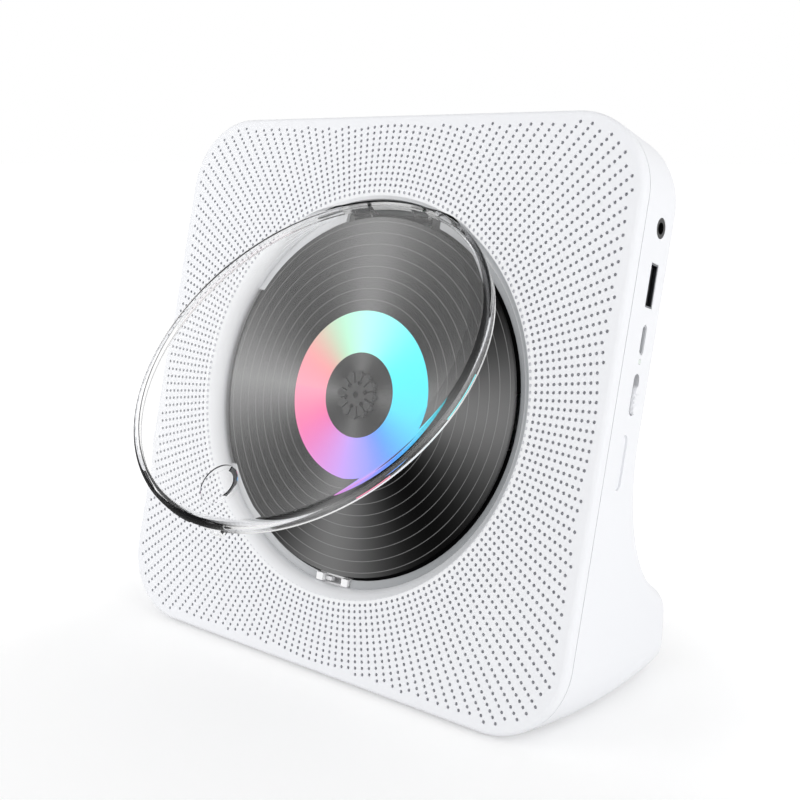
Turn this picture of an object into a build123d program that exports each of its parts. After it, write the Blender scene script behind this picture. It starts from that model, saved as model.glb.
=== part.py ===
"""Square desk and wall disc player with a hinged clear cover, modelled piece by piece.

Every piece is drawn in the face frame: u to the right, v up along the face and n out of the
face towards the listener, in millimetres. FACE then leans that frame back and stands it on
the table, with +Z up and the front towards -Y. Heights written w are measured from the
middle of the disc well instead of the middle of the face.
"""
from build123d import *
import os
from math import acos, cos, hypot, pi, radians, sin, sqrt, tan

# ---- case -------------------------------------------------------------------------------
FACE_SIZE = 186.0        # width and height of the square front
FACE_CORNER = 25.0       # its corner radius, seen from the front
LEAN = 15.0              # how far the face leans back from upright, degrees
RIM_DEPTH = 4.0          # side of the front shell, from the face back to the seam
RIM_ROUND = 1.5          # rounding between the face and its side
SEAM = 0.3               # gap between the front and rear shells
CASE_WALL = 2.0
CASE_DRAFT = 1.5         # the rear shell narrows towards its back, degrees
BACK_DEPTH = 31.0        # from the face to the flat part of the back
BACK_ROUND = 9.0         # rounding all round the back
FLARE_UP = 93.0          # height above the lower edge where the back starts to swell
FLARE_RADIUS = 48.6      # hollow curve from the flat back into the foot
FLARE_TURN = 72.0        # angle that this curve turns through, degrees
KNEE_RADIUS = 10.0       # round top edge of the foot
KNEE_RUN = 3.0           # straight run between the hollow curve and the knee
HEEL_ROUND = 8.0         # lower rear edge of the foot
LIP_THICK = 1.4          # locating lip of the rear shell, inside the front shell
LIP_REACH = 1.7          # how far that lip passes the seam
FIT = 0.3                # gap between pieces that are put together by hand

# ---- screws -----------------------------------------------------------------------------
TOP_SCREW_IN = 19.0      # upper case screws, in from the side and the top
SIDE_SCREW_IN = 14.0     # lower case screws, in from the side
SIDE_SCREW_V = -38.0
CASE_BOSS = 3.5          # radius of the bosses under the face
CASE_BOSS_END = 12.0     # their depth below the face
TOWER_RADIUS = 4.5
TUNNEL_RADIUS = 2.9
TUNNEL_FLOOR = 15.5      # the screw heads bear on this floor
SHANK = 1.2
SHANK_ROOM = 0.1
HEAD_RADIUS = 2.3
HEAD_HIGH = 1.6

# ---- well and deck ----------------------------------------------------------------------
WELL_DROP = 1.0          # the well is centred this far below the middle of the face
LIP_GAP = 0.5            # between the closed cover and the sharp lip round it
ROLL_RADIUS = 5.5        # the face rolls down to that lip
SEAT_DEPTH = 6.3         # depth of the lip, and of the cover's seat ring
SEAT_SHOWS = 2.8         # width of the seat ring inside the lip
SEAT_THICK = 1.5
DECK_THICK = 1.6
NOTCH_HALF = 32.0        # finger notch at the left of the well, half its height
EAR_OUT = 4.9            # the deck screws, outside the deck's edge
EAR_ANGLES = (20, 160, 200, 340)
EAR_SIZE = 4.0
EAR_BOSS = 3.0
EAR_BOSS_TOP = 3.6       # its blind hole ends this far below the face

# ---- cover ------------------------------------------------------------------------------
COVER_THICK = 2.0
COVER_REACH = 1.3        # room between the disc and the inside of the cover
COVER_RIM = 6.0          # depth of the closed cover's rim below the face
COVER_SKIRT = 2.24       # upright part of its side
COVER_SHOULDER = 2.5     # outer radius of its rounded shoulder
COVER_CROWN = 0.9        # how far the middle domes above the shoulder
COVER_OPEN = 30.2        # opening angle at rest, degrees
COVER_MORE = 4.0         # how much further it opens
COVER_ROOM = 0.45        # air kept round the cover through its whole swing
HINGE_INSET = 2.6        # hinge axis, inside the cover's edge
HINGE_DROP = 3.3         # hinge axis, below the closed cover's rim
PIN_RADIUS = 1.0
PIN_RUNNING = 0.06       # radial clearance of the cover's knuckles on the pin
KNUCKLE = 2.2
KNUCKLE_INNER = 9.0
KNUCKLE_OUTER = 16.0
KNUCKLE_GAP = 0.5
HINGE_EAR = 2.1
SLOT_SPAN = (-18.8, 21.0)
SLOT_OUT = 2.3           # the hinge slot's outer edge, outside the lip
DIMPLE_RADIUS = 6.4
DIMPLE_IN = 12.8         # middle of the finger dimple, inside the cover's edge
DIMPLE_DEPTH = 0.8

# ---- catch (everything across the bottom of the well, u and w) ----------------------------
HOOK = (-1.2, 3.8)       # left and right side of the cover's hook
HOOK_INSET = 0.3         # outer face of the hook, inside the cover's edge
HOOK_THICK = 1.5
HOOK_LONG = 4.4
HOOK_NOTCH = 1.6         # depth of the notch that the catch enters
HOOK_NOTCH_SPAN = (0.6, 3.0)
NOSE_HIGH = 1.8
SLIDE_WIDE = 0.8
CATCH_TRAVEL = 1.6
BLOCK_IN = 4.1           # guide blocks, from the middle
BLOCK_OUT = 6.8
BLOCK_TOP = 5.2          # their depth below the face
POCKET_ROOM = 0.35

# ---- disc and its drive -----------------------------------------------------------------
DISC_RADIUS = 60.0
DISC_THICK = 1.2
DISC_HOLE = 7.5
DISC_TOP = 4.5           # depth of the disc's upper side below the face
HUB_RADIUS = 7.3
HUB_BARB = 8.2
HUB_RISE = 1.5
FINGERS = 12
PLATTER_RADIUS = 14.5
PLATTER_THICK = 1.6
SHAFT = 1.0
SHAFT_RUNNING = 0.05
MOTOR_RADIUS = 12.0
MOTOR_TOP = 10.3
CHASSIS_TOP = 19.0
CHASSIS_THICK = 1.6

# ---- sled -------------------------------------------------------------------------------
PICKUP_START = 24.0      # radius on the disc that the lens reads at rest
PICKUP_TRAVEL = 32.0
CARRIAGE_HALF = 7.0
ROD_START = 9.0          # left end of both guide rods, right of the spindle
ROD_RADIUS = 1.5
ROD_SPREAD = 19.0
ROD_DEPTH = 13.2
ROD_RUNNING = 0.08
ROD_BLOCK = 3.0          # the chassis holds each end of a rod in a block this long
MODULE = 0.5
ADDENDUM = 0.4           # stub teeth, so that the small gears aren't undercut
DEDENDUM = 0.5
PRESSURE = radians(20.0)
BACKLASH = 0.14
PINION_TEETH = 14
WHEEL_TEETH = 48
RACK_GEAR_TEETH = 16
GEAR_U = 42.0
RACK_DOWN = 27.0         # pitch line of the rack, below the middle of the well
GEAR_PIN = 1.0

# ---- side controls and sockets, measured down from the top edge ----------------------------
PORT_DEPTH = 15.6        # below the face
JACK_DOWN = 31.2
JACK_RADIUS = 2.95
JACK_BORE = 1.8
USB_DOWN = 48.2
USB_LONG = 12.8
USB_HIGH = 4.7
CHARGE_DOWN = 64.2
CHARGE_LONG = 8.6
CHARGE_HIGH = 2.6
LED_DOWN = 70.6
LED_RADIUS = 0.75
SWITCH_DOWN = 80.4
SWITCH_LONG = 12.4
SWITCH_HIGH = 3.8
KNOB_LONG = 8.6
KNOB_PROUD = 1.2
KNOB_START = 0.35        # gap below the knob in its slot
SWITCH_TRAVEL = 3.0
RECESS_DOWN = 100.6
RECESS_LONG = 16.5
RECESS_HIGH = 4.4
RECESS_DEEP = 0.7
BUTTON_RADIUS = 3.9
BUTTON_PITCH = 15.0
BUTTON_PROUD = 0.9
BUTTON_TRAVEL = 0.5
BUTTON_FLANGE = 1.6
BUTTON_NAMES = ("previous", "play", "next", "volume_down", "volume_up")

# ---- inner parts --------------------------------------------------------------------------
CLOTH_THICK = 0.3
SPEAKER_IN = 23.0        # middle of each speaker, in from the side and the lower edge
SPEAKER_RADIUS = 16.5
SPEAKER_RING = 1.4
SPEAKER_BACK = 18.0
MAGNET_RADIUS = 11.0
CELL_RADIUS = 9.1
CELL_LENGTH = 65.0
CELL_UP = 31.0           # both cells, above the lower edge
CELL_DEPTHS = (44.0, 63.2)
BOARD_THICK = 1.6
MAIN_BOARD_IN = 13.0     # its left edge, in from the side
MAIN_BOARD_LOW = 2.0
MAIN_BOARD_SIZE = (50.0, 40.0)
MAIN_BOARD_DEPTH = 23.0
SIDE_BOARD_IN = (4.2, 13.7)   # its two long edges, in from the outside of the wall
SIDE_BOARD_DOWN = (25.0, 89.0)
SIDE_BOARD_DEPTH = 18.0
BUTTON_BOARD_IN = 9.7    # its upper side, below the top
KEYHOLE_U = 40.0
KEYHOLE_V = 42.0
KEYHOLE_HEAD = 4.5
KEYHOLE_SLOT = 2.3
KEYHOLE_RUN = 10.0
PAD_PROUD = 0.8          # the rubber pads stand this far below the case
PAD_RADIUS = 5.0
PAD_U = 60.0
PADS_BEHIND_TOE = (13.0, 62.0)   # middles of the pads, from the front edge of the sole

# ---- placing --------------------------------------------------------------------------------
HALF = FACE_SIZE / 2
LEAN_TAN = tan(radians(LEAN))
LEAN_COS = cos(radians(LEAN))
LEAN_SIN = sin(radians(LEAN))
COVER_RADIUS = DISC_RADIUS + COVER_REACH + COVER_THICK
LIP_RADIUS = COVER_RADIUS + LIP_GAP
DISH_RADIUS = LIP_RADIUS + ROLL_RADIUS
SEAT_INNER = LIP_RADIUS - SEAT_SHOWS
SEAT_OUTER = LIP_RADIUS + CASE_WALL + 0.2
NOTCH_RADIUS = LIP_RADIUS + 0.2
SLOT_RADIUS = LIP_RADIUS + SLOT_OUT
DECK_RADIUS = SEAT_OUTER + 0.6
EAR_RADIUS = DECK_RADIUS + EAR_OUT
HINGE_UP = COVER_RADIUS - HINGE_INSET
HINGE = (HINGE_UP - WELL_DROP, -COVER_RIM - HINGE_DROP)
EAR_START = KNUCKLE_OUTER + KNUCKLE_GAP
PIN_HALF = EAR_START + HINGE_EAR
HOOK_OUT = COVER_RADIUS - HOOK_INSET
HOOK_IN = HOOK_OUT - HOOK_THICK
BLOCK_FRONT = HOOK_OUT + 0.2
BLOCK_BACK = HOOK_IN - 0.8
ROD_STOP = PICKUP_START + PICKUP_TRAVEL + CARRIAGE_HALF + ROD_BLOCK + 1.5
DECK_TOP = -SEAT_DEPTH - SEAT_THICK
DECK_UNDER = DECK_TOP - DECK_THICK
BACK_INNER = CASE_WALL - BACK_DEPTH
PLATTER_BOTTOM = -DISC_TOP - DISC_THICK - PLATTER_THICK
CHASSIS_UNDER = -CHASSIS_TOP - CHASSIS_THICK
CENTRE = (Align.CENTER, Align.CENTER, Align.CENTER)
UPWARD = (Align.CENTER, Align.CENTER, Align.MIN)
MID_DEPTH = 4.6          # brings the middle of the overall depth, cover open, to y = 0
CASE_SCREWS = (
    (TOP_SCREW_IN - HALF, HALF - TOP_SCREW_IN),
    (HALF - TOP_SCREW_IN, HALF - TOP_SCREW_IN),
    (SIDE_SCREW_IN - HALF, SIDE_SCREW_V),
    (HALF - SIDE_SCREW_IN, SIDE_SCREW_V),
)
SPEAKER_PLACE = HALF - SPEAKER_IN
WALL_OUTSIDE = HALF - (PORT_DEPTH - RIM_DEPTH - SEAM) * tan(radians(CASE_DRAFT))
WALL_INSIDE = WALL_OUTSIDE - CASE_WALL
BUTTON_BOARD_V = WALL_OUTSIDE - BUTTON_BOARD_IN
JACK_V = HALF - JACK_DOWN
USB_V = HALF - USB_DOWN
CHARGE_V = HALF - CHARGE_DOWN
LED_V = HALF - LED_DOWN
SWITCH_V = HALF - SWITCH_DOWN
RECESS_V = HALF - RECESS_DOWN
MAIN_BOARD = (
    MAIN_BOARD_IN - HALF,
    MAIN_BOARD_IN - HALF + MAIN_BOARD_SIZE[0],
    MAIN_BOARD_LOW,
    MAIN_BOARD_LOW + MAIN_BOARD_SIZE[1],
)
SIDE_BOARD = (
    WALL_OUTSIDE - SIDE_BOARD_IN[1],
    WALL_OUTSIDE - SIDE_BOARD_IN[0],
    HALF - SIDE_BOARD_DOWN[1],
    HALF - SIDE_BOARD_DOWN[0],
)
CELL_PLACES = [(CELL_UP - HALF, -depth) for depth in CELL_DEPTHS]
FACE = Plane(
    origin=(0, MID_DEPTH, HALF * LEAN_COS + RIM_DEPTH * LEAN_SIN + PAD_PROUD),
    x_dir=(1, 0, 0),
    z_dir=(0, -LEAN_COS, LEAN_SIN),
)


def block(u0, u1, v0, v1, n0, n1):
    """Box between two corners."""
    box = Box(u1 - u0, v1 - v0, n1 - n0, align=CENTRE)
    return Pos((u0 + u1) / 2, (v0 + v1) / 2, (n0 + n1) / 2) * box


def slab(u0, u1, w0, w1, n0, n1):
    """Box with its heights measured from the middle of the well."""
    return block(u0, u1, w0 - WELL_DROP, w1 - WELL_DROP, n0, n1)


def drum(u, v, n0, n1, radius):
    """Cylinder whose axis points out of the face."""
    return Pos(u, v, n0) * Cylinder(radius, n1 - n0, align=UPWARD)


def disc(n0, n1, radius, u=0.0, w=0.0):
    """Cylinder placed from the middle of the well."""
    return drum(u, w - WELL_DROP, n0, n1, radius)


def bar(u0, u1, v, n, radius):
    """Cylinder that lies across, along u."""
    return Plane(origin=(u0, v, n), z_dir=(1, 0, 0)) * Cylinder(radius, u1 - u0, align=UPWARD)


def stem(u, v0, v1, n, radius):
    """Cylinder that stands along v."""
    return Plane(origin=(u, v0, n), z_dir=(0, 1, 0)) * Cylinder(radius, v1 - v0, align=UPWARD)


def pill(u0, u1, v, n, long, high):
    """Bar across the side wall with a slot-shaped section, long side up the face."""
    plane = Plane(origin=(u0, v, n), x_dir=(0, 1, 0), z_dir=(1, 0, 0))
    return extrude(plane * SlotOverall(long, high), u1 - u0)


def turned(edges):
    """Solid of revolution about the well's axis from edges drawn as (radius, n)."""
    section = make_face([Plane.XZ * edge for edge in edges])
    return Pos(0, -WELL_DROP, 0) * revolve(section, Axis.Z)


def around(angle, radius):
    """A point at an angle round the well, as (u, v) on the face."""
    turn = radians(angle)
    return radius * cos(turn), radius * sin(turn) - WELL_DROP


def save(name, *shapes, placed=False):
    """Lean the finished solids back and write them as one STEP file."""
    solids = [solid for shape in shapes for solid in shape.solids()]
    if not placed:
        solids = [FACE.location * solid for solid in solids]
    piece = solids[0] if len(solids) == 1 else Compound(children=solids)
    export_step(piece, f"parts/{name}.step")


# ---- case ------------------------------------------------------------------------------------
def face_slab(inset, n0, n1):
    """Rounded square of the face's outline, drawn in by inset."""
    size = FACE_SIZE - 2 * inset
    outline = RectangleRounded(size, size, FACE_CORNER - inset)
    return extrude(Pos(0, 0, n0) * outline, n1 - n0)


def cover_profile(grow, solid):
    """Section of the closed cover as (radius, n), grown outwards, hollow or solid."""
    rim = -COVER_RIM
    radius = COVER_RADIUS + grow
    bend = COVER_SHOULDER + grow
    knee = radius - bend
    skirt = rim + COVER_SKIRT
    top = skirt + bend
    crown = top + COVER_CROWN
    half = bend * sqrt(0.5)
    low = rim - grow if solid else rim
    inner = 0.0 if solid else COVER_RADIUS - COVER_THICK
    edges = [
        Line((inner, low), (radius, low)),
        Line((radius, low), (radius, skirt)),
        ThreePointArc((radius, skirt), (knee + half, skirt + half), (knee, top)),
        ThreePointArc((knee, top), (knee / 2, top + COVER_CROWN * 0.75), (0, crown)),
    ]
    if solid:
        return edges + [Line((0, crown), (0, low))]
    bend = 1.0
    top -= COVER_THICK
    half = bend * sqrt(0.5)
    knee = inner - bend
    return edges + [
        Line((0, crown), (0, crown - COVER_THICK)),
        ThreePointArc(
            (0, crown - COVER_THICK), (knee / 2, top + COVER_CROWN * 0.75), (knee, top)),
        ThreePointArc((knee, top), (knee + half, top - bend + half), (inner, top - bend)),
        Line((inner, top - bend), (inner, low)),
    ]


def opened(shape, angle):
    """Swing a closed shape about the cover's hinge."""
    return shape.rotate(Axis((0, *HINGE), (1, 0, 0)), -angle)


def cover_room():
    """Space that the top of the cover sweeps through as it opens."""
    puck = turned(cover_profile(COVER_ROOM, True))
    puck -= slab(-HALF, HALF, -HALF, COVER_RADIUS / 2, -20, 20)
    steps = 6
    last = COVER_OPEN + COVER_MORE
    return [opened(puck, last * step / steps) for step in range(1, steps + 1)]


def hinge_slot(n0, n1):
    """Dark slot behind the top of the cover."""
    strip = slab(*SLOT_SPAN, COVER_RADIUS / 2, HALF, n0, n1)
    return strip & disc(n0, n1, SLOT_RADIUS)


def front_shell():
    shell = face_slab(0, -RIM_DEPTH, 0)
    shell = fillet(shell.faces().sort_by(Axis.Z)[-1].edges(), RIM_ROUND)
    shell -= face_slab(CASE_WALL, -RIM_DEPTH - 1, -CASE_WALL)
    shell -= disc(-10, 1, DISH_RADIUS + 2)
    mid = sqrt(0.5)
    under = ROLL_RADIUS - CASE_WALL
    bottom = -SEAT_DEPTH
    shell += turned([
        Line((DISH_RADIUS + 2, 0), (DISH_RADIUS, 0)),
        ThreePointArc(
            (DISH_RADIUS, 0),
            (DISH_RADIUS - ROLL_RADIUS * mid, ROLL_RADIUS * (mid - 1)),
            (LIP_RADIUS, -ROLL_RADIUS)),
        Line((LIP_RADIUS, -ROLL_RADIUS), (LIP_RADIUS, bottom)),
        Line((LIP_RADIUS, bottom), (LIP_RADIUS + CASE_WALL, bottom)),
        Line((LIP_RADIUS + CASE_WALL, bottom), (LIP_RADIUS + CASE_WALL, -ROLL_RADIUS)),
        ThreePointArc(
            (LIP_RADIUS + CASE_WALL, -ROLL_RADIUS),
            (DISH_RADIUS - under * mid, under * mid - ROLL_RADIUS),
            (DISH_RADIUS, -CASE_WALL)),
        Line((DISH_RADIUS, -CASE_WALL), (DISH_RADIUS + 2, -CASE_WALL)),
        Line((DISH_RADIUS + 2, -CASE_WALL), (DISH_RADIUS + 2, 0)),
    ])
    shell -= hinge_slot(-10, 1)
    for puck in cover_room():
        shell -= puck
    for u, v in CASE_SCREWS:
        shell += drum(u, v, -CASE_BOSS_END, -CASE_WALL, CASE_BOSS)
        shell -= drum(u, v, -CASE_BOSS_END, -CASE_WALL - 2, SHANK + SHANK_ROOM)
    for angle in EAR_ANGLES:
        u, v = around(angle, EAR_RADIUS)
        shell += drum(u, v, DECK_TOP, -CASE_WALL, EAR_BOSS)
        shell -= drum(u, v, DECK_TOP, -EAR_BOSS_TOP, SHANK + SHANK_ROOM)
    for side in (-1, 1):
        at = (side * SPEAKER_PLACE, -SPEAKER_PLACE)
        ring = drum(*at, -5.4, -CASE_WALL, SPEAKER_RADIUS + FIT + SPEAKER_RING)
        shell += ring - drum(*at, -5.5, -CASE_WALL, SPEAKER_RADIUS + FIT)
    return shell


def side_profile():
    """The rear shell seen from the side, as a face in (v, n), open towards the front."""
    lean = radians(LEAN)
    turn = radians(FLARE_TURN)
    high = HALF + 5
    front = 20.0
    flare_n = -BACK_DEPTH - FLARE_RADIUS
    flare_v = FLARE_UP - HALF
    mid = (flare_v - FLARE_RADIUS * sin(turn / 2), flare_n + FLARE_RADIUS * cos(turn / 2))
    end = (flare_v - FLARE_RADIUS * sin(turn), flare_n + FLARE_RADIUS * cos(turn))
    run = (end[0] - KNEE_RUN * cos(turn), end[1] - KNEE_RUN * sin(turn))
    knee = (run[0] - KNEE_RADIUS * sin(turn), run[1] + KNEE_RADIUS * cos(turn))
    half_turn = (turn + lean) / 2
    knee_mid = (knee[0] + KNEE_RADIUS * sin(half_turn), knee[1] - KNEE_RADIUS * cos(half_turn))
    knee_end = (knee[0] + KNEE_RADIUS * sin(lean), knee[1] - KNEE_RADIUS * cos(lean))
    # The foot's back is upright when the player stands, and its sole is level.
    sole_v = -HALF - RIM_DEPTH * LEAN_TAN
    drop = (knee_end[0] - sole_v + knee_end[1] * LEAN_TAN) * LEAN_COS
    heel = (knee_end[0] - drop * LEAN_COS, knee_end[1] - drop * LEAN_SIN)
    toe = (sole_v - front * LEAN_TAN, front)
    profile = make_face([
        Line((high, front), (high, -BACK_DEPTH)),
        Line((high, -BACK_DEPTH), (flare_v, -BACK_DEPTH)),
        ThreePointArc((flare_v, -BACK_DEPTH), mid, end),
        Line(end, run),
        ThreePointArc(run, knee_mid, knee_end),
        Line(knee_end, heel),
        Line(heel, toe),
        Line(toe, (high, front)),
    ])
    corner = profile.vertices().sort_by_distance((*heel, 0))[0]
    return fillet(corner, HEEL_ROUND)


def rear_form(inset, front):
    """The rear shell's form, drawn in by inset, from n = front backwards."""
    start = Plane(origin=(0, 0, front), x_dir=(1, 0, 0), z_dir=(0, 0, -1))
    size = FACE_SIZE - 2 * inset + 2 * (front + RIM_DEPTH + SEAM) * tan(radians(CASE_DRAFT))
    outline = start * RectangleRounded(size, size, FACE_CORNER - inset)
    form = extrude(outline, HALF, taper=CASE_DRAFT)
    profile = side_profile()
    if inset:
        profile = offset(profile, -inset)
    sideways = Plane(origin=(-HALF - 5, 0, 0), x_dir=(0, 1, 0), z_dir=(1, 0, 0))
    form &= extrude(sideways * profile, FACE_SIZE + 10)
    opening = form.faces().sort_by(Axis.Z)[-1]
    sole = form.faces().sort_by(Axis.Y)[0]
    rest = [face for face in form.faces() if face != opening]
    walls = [
        face for face in rest
        if face != sole and face.bounding_box().max.Z > front - 0.01
    ]
    backs = [edge for face in rest if face not in walls for edge in face.edges()]
    rims = [edge for face in walls for edge in face.edges() if edge in backs]
    return fillet(rims, BACK_ROUND - inset)


def rear_shell():
    start = -RIM_DEPTH - SEAM
    shell = rear_form(0, start) - rear_form(CASE_WALL, start)
    inside = CASE_WALL + FIT
    lip = face_slab(inside, start, start + LIP_REACH)
    lip += face_slab(CASE_WALL - 1, start - 2.5, start)
    lip -= face_slab(inside + LIP_THICK, start - 3, start + 3)
    shell += lip - face_slab(0, start - 9, start) + (lip & rear_form(0.4, start))
    towers = []
    for u, v in CASE_SCREWS:
        towers.append(drum(u, v, -HALF, -CASE_BOSS_END - FIT, TOWER_RADIUS))
    board_left, board_right, board_low, board_high = MAIN_BOARD
    for u in (board_left + 4, board_right - 4):
        for v in (board_low + 4, board_high - 4):
            towers.append(drum(u, v, -HALF, -MAIN_BOARD_DEPTH - BOARD_THICK, 2.5))
    for v in (SIDE_BOARD[2] + 4, SIDE_BOARD[3] - 4):
        towers.append(drum(SIDE_BOARD[0] + 4, v, -HALF, -SIDE_BOARD_DEPTH - BOARD_THICK, 2.5))
    for u in (-34, 34):
        low = BUTTON_BOARD_V - BOARD_THICK
        towers.append(block(u - 3, u + 3, low - 7, low, -HALF, -PORT_DEPTH - 7))
    bulk = rear_form(CASE_WALL - 0.5, start)
    for tower in towers:
        shell += tower & bulk
    for u, v in CASE_SCREWS:
        shell -= drum(u, v, -HALF, -TUNNEL_FLOOR, TUNNEL_RADIUS)
        shell -= drum(u, v, -20, -CASE_BOSS_END, SHANK + SHANK_ROOM)
    for side in (-1, 1):
        u = side * KEYHOLE_U
        room = KEYHOLE_HEAD + 0.8
        low, high = KEYHOLE_V - room, KEYHOLE_V + KEYHOLE_RUN + room
        shell += block(
            u - room - 1.2, u + room + 1.2, low - 1.2, high + 1.2, BACK_INNER, BACK_INNER + 4.2)
        shell -= block(u - room, u + room, low, high, BACK_INNER, BACK_INNER + 3)
        shell -= drum(u, KEYHOLE_V, -40, -26, KEYHOLE_HEAD)
        shell -= drum(u, KEYHOLE_V + KEYHOLE_RUN, -40, -26, KEYHOLE_SLOT)
        shell -= block(
            u - KEYHOLE_SLOT, u + KEYHOLE_SLOT, KEYHOLE_V, KEYHOLE_V + KEYHOLE_RUN, -40, -26)
    depth = -PORT_DEPTH
    ends = (WALL_INSIDE - 4, WALL_OUTSIDE + 4)
    half = USB_HIGH / 2 + 0.15
    half_long = USB_LONG / 2 + 0.15
    shell -= bar(*ends, JACK_V, depth, JACK_RADIUS + 0.15)
    shell -= block(*ends, USB_V - half_long, USB_V + half_long, depth - half, depth + half)
    shell -= pill(*ends, CHARGE_V, depth, CHARGE_LONG + 0.3, CHARGE_HIGH + 0.3)
    shell -= bar(*ends, LED_V, depth, LED_RADIUS + 0.1)
    shell -= pill(*ends, SWITCH_V, depth, SWITCH_LONG, SWITCH_HIGH)
    floor = WALL_OUTSIDE - RECESS_DEEP
    shell -= pill(floor, ends[1], RECESS_V, depth + 1.6, RECESS_LONG, RECESS_HIGH)
    for place in range(-2, 3):
        shell -= stem(place * BUTTON_PITCH, *ends, depth, BUTTON_RADIUS + FIT)
    return shell


def rubber_feet():
    pads = []
    toe = MID_DEPTH - HALF * LEAN_SIN + RIM_DEPTH * LEAN_COS
    for u in (-PAD_U, PAD_U):
        for behind in PADS_BEHIND_TOE:
            pads.append(Pos(u, toe + behind, 0) * Cylinder(PAD_RADIUS, PAD_PROUD, align=UPWARD))
    return pads


def screws(places, under, top):
    """Pan-head screws that point towards the face."""
    return [
        drum(u, v, under - HEAD_HIGH, under, HEAD_RADIUS) + drum(u, v, under, top, SHANK)
        - block(u - 1.6, u + 1.6, v - 0.3, v + 0.3, under - HEAD_HIGH, under - HEAD_HIGH + 0.8)
        for u, v in places
    ]


# ---- well -------------------------------------------------------------------------------------
def well_ring():
    ring = disc(DECK_TOP, -SEAT_DEPTH, SEAT_OUTER) - disc(-10, 0, SEAT_INNER)
    notch = slab(-HALF, 0, -NOTCH_HALF, NOTCH_HALF, -10, 0) & disc(-10, 0, NOTCH_RADIUS)
    ring -= notch
    ring -= hinge_slot(-10, 0)
    ring -= slab(-BLOCK_OUT - FIT, BLOCK_OUT + FIT, -BLOCK_FRONT - 1.4, -SEAT_INNER / 2, -10, 0)
    for puck in cover_room():
        ring -= puck
    return ring


def disc_deck():
    deck = disc(DECK_UNDER, DECK_TOP, DECK_RADIUS)
    for angle in EAR_ANGLES:
        u, v = around(angle, EAR_RADIUS)
        deck += drum(u, v, DECK_UNDER, DECK_TOP, EAR_SIZE)
        tab = Box(8, 2 * EAR_SIZE, DECK_THICK, align=UPWARD)
        near = around(angle, EAR_RADIUS - 4)
        deck += Pos(*near, DECK_UNDER) * Rot(0, 0, angle) * tab
        deck -= drum(u, v, -20, 0, SHANK + SHANK_ROOM)
    for side in (-1, 1):
        inner, outer = sorted((side * EAR_START, side * PIN_HALF))
        deck += slab(inner, outer, HINGE_UP - 3.5, HINGE_UP + 2.4, HINGE[1] - 3, DECK_TOP)
    deck -= slab(-EAR_START, EAR_START, HINGE_UP - 3.2, DECK_RADIUS + 1, -20, 0)
    deck -= bar(-PIN_HALF - 1, PIN_HALF + 1, *HINGE, PIN_RADIUS + 0.02)
    deck -= disc(-20, 0, 8)
    window = PICKUP_START - CARRIAGE_HALF - 1
    deck -= slab(window, HALF, -9, 9, -20, 0) & disc(-20, 0, SEAT_INNER + 2)
    deck -= slab(
        -BLOCK_OUT - 0.4, BLOCK_OUT + 0.4, -BLOCK_FRONT - 1.7, -BLOCK_BACK + 0.6, -20, 0)
    for u, w in CHASSIS_POSTS:
        deck += disc(-CHASSIS_TOP + 1, DECK_UNDER, 3, u, w)
        deck -= disc(-20, DECK_UNDER - 3, SHANK + SHANK_ROOM, u, w)
    return deck


def catch_guide():
    """Frame that the catch slides in, with a white block on each side."""
    floor = DECK_UNDER - 3.2
    frame = slab(
        -BLOCK_OUT, BLOCK_OUT, -BLOCK_FRONT - 1.4, -BLOCK_BACK + 0.2, floor, DECK_TOP + 0.5)
    for side in (-1, 1):
        inner, outer = sorted((side * BLOCK_IN, side * BLOCK_OUT))
        frame += slab(inner, outer, -BLOCK_FRONT, -BLOCK_BACK, DECK_TOP + 0.5, -BLOCK_TOP)
    room = POCKET_ROOM
    frame -= slab(-BLOCK_IN, BLOCK_IN, -HOOK_OUT - room, -HOOK_IN + room, floor + 1, 0)
    return frame


def cover_catch():
    """Small slide whose nose enters the notch of the cover's hook."""
    front = -HOOK_OUT + 0.1
    back = -HOOK_IN - 0.1
    left = 0.2 - BLOCK_IN
    top = -COVER_RIM - HOOK_NOTCH_SPAN[0] - FIT
    slide = slab(left, left + SLIDE_WIDE, front, back, DECK_UNDER - 1.3, top)
    return slide + slab(left, HOOK[0] - FIT, front, back, top - NOSE_HIGH, top)


def dust_cover():
    cover = turned(cover_profile(0, False))
    rim = -COVER_RIM
    top = rim + COVER_SKIRT + COVER_SHOULDER + COVER_CROWN * 0.5
    cover -= disc(top - DIMPLE_DEPTH, 5, DIMPLE_RADIUS, 0, DIMPLE_IN - COVER_RADIUS)
    relief = BLOCK_OUT + 0.6
    cover -= slab(-relief, relief, -COVER_RADIUS - 1, -COVER_RADIUS + 5, rim - 1, rim + 1.3)
    hook = slab(*HOOK, -HOOK_OUT, -HOOK_IN, rim - HOOK_LONG, rim + COVER_SKIRT)
    shallow, deep = HOOK_NOTCH_SPAN
    hook -= slab(
        HOOK[0] - 1, HOOK[0] + HOOK_NOTCH, -HOOK_OUT - 1, -HOOK_IN + 1, rim - deep, rim - shallow)
    cover += hook & disc(-20, 0, COVER_RADIUS)
    for side in (-1, 1):
        inner, outer = sorted((side * KNUCKLE_INNER, side * KNUCKLE_OUTER))
        arm = slab(inner, outer, HINGE_UP - 2.2, HINGE_UP + 4, HINGE[1], -COVER_RIM + 1.5)
        arm &= disc(-20, 0, COVER_RADIUS)
        arm -= disc(-20, 0, DISC_RADIUS + 1)
        arm += bar(inner, outer, *HINGE, KNUCKLE)
        cover += arm
    cover -= bar(-PIN_HALF, PIN_HALF, *HINGE, PIN_RADIUS + PIN_RUNNING)
    return opened(cover, COVER_OPEN)


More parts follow.
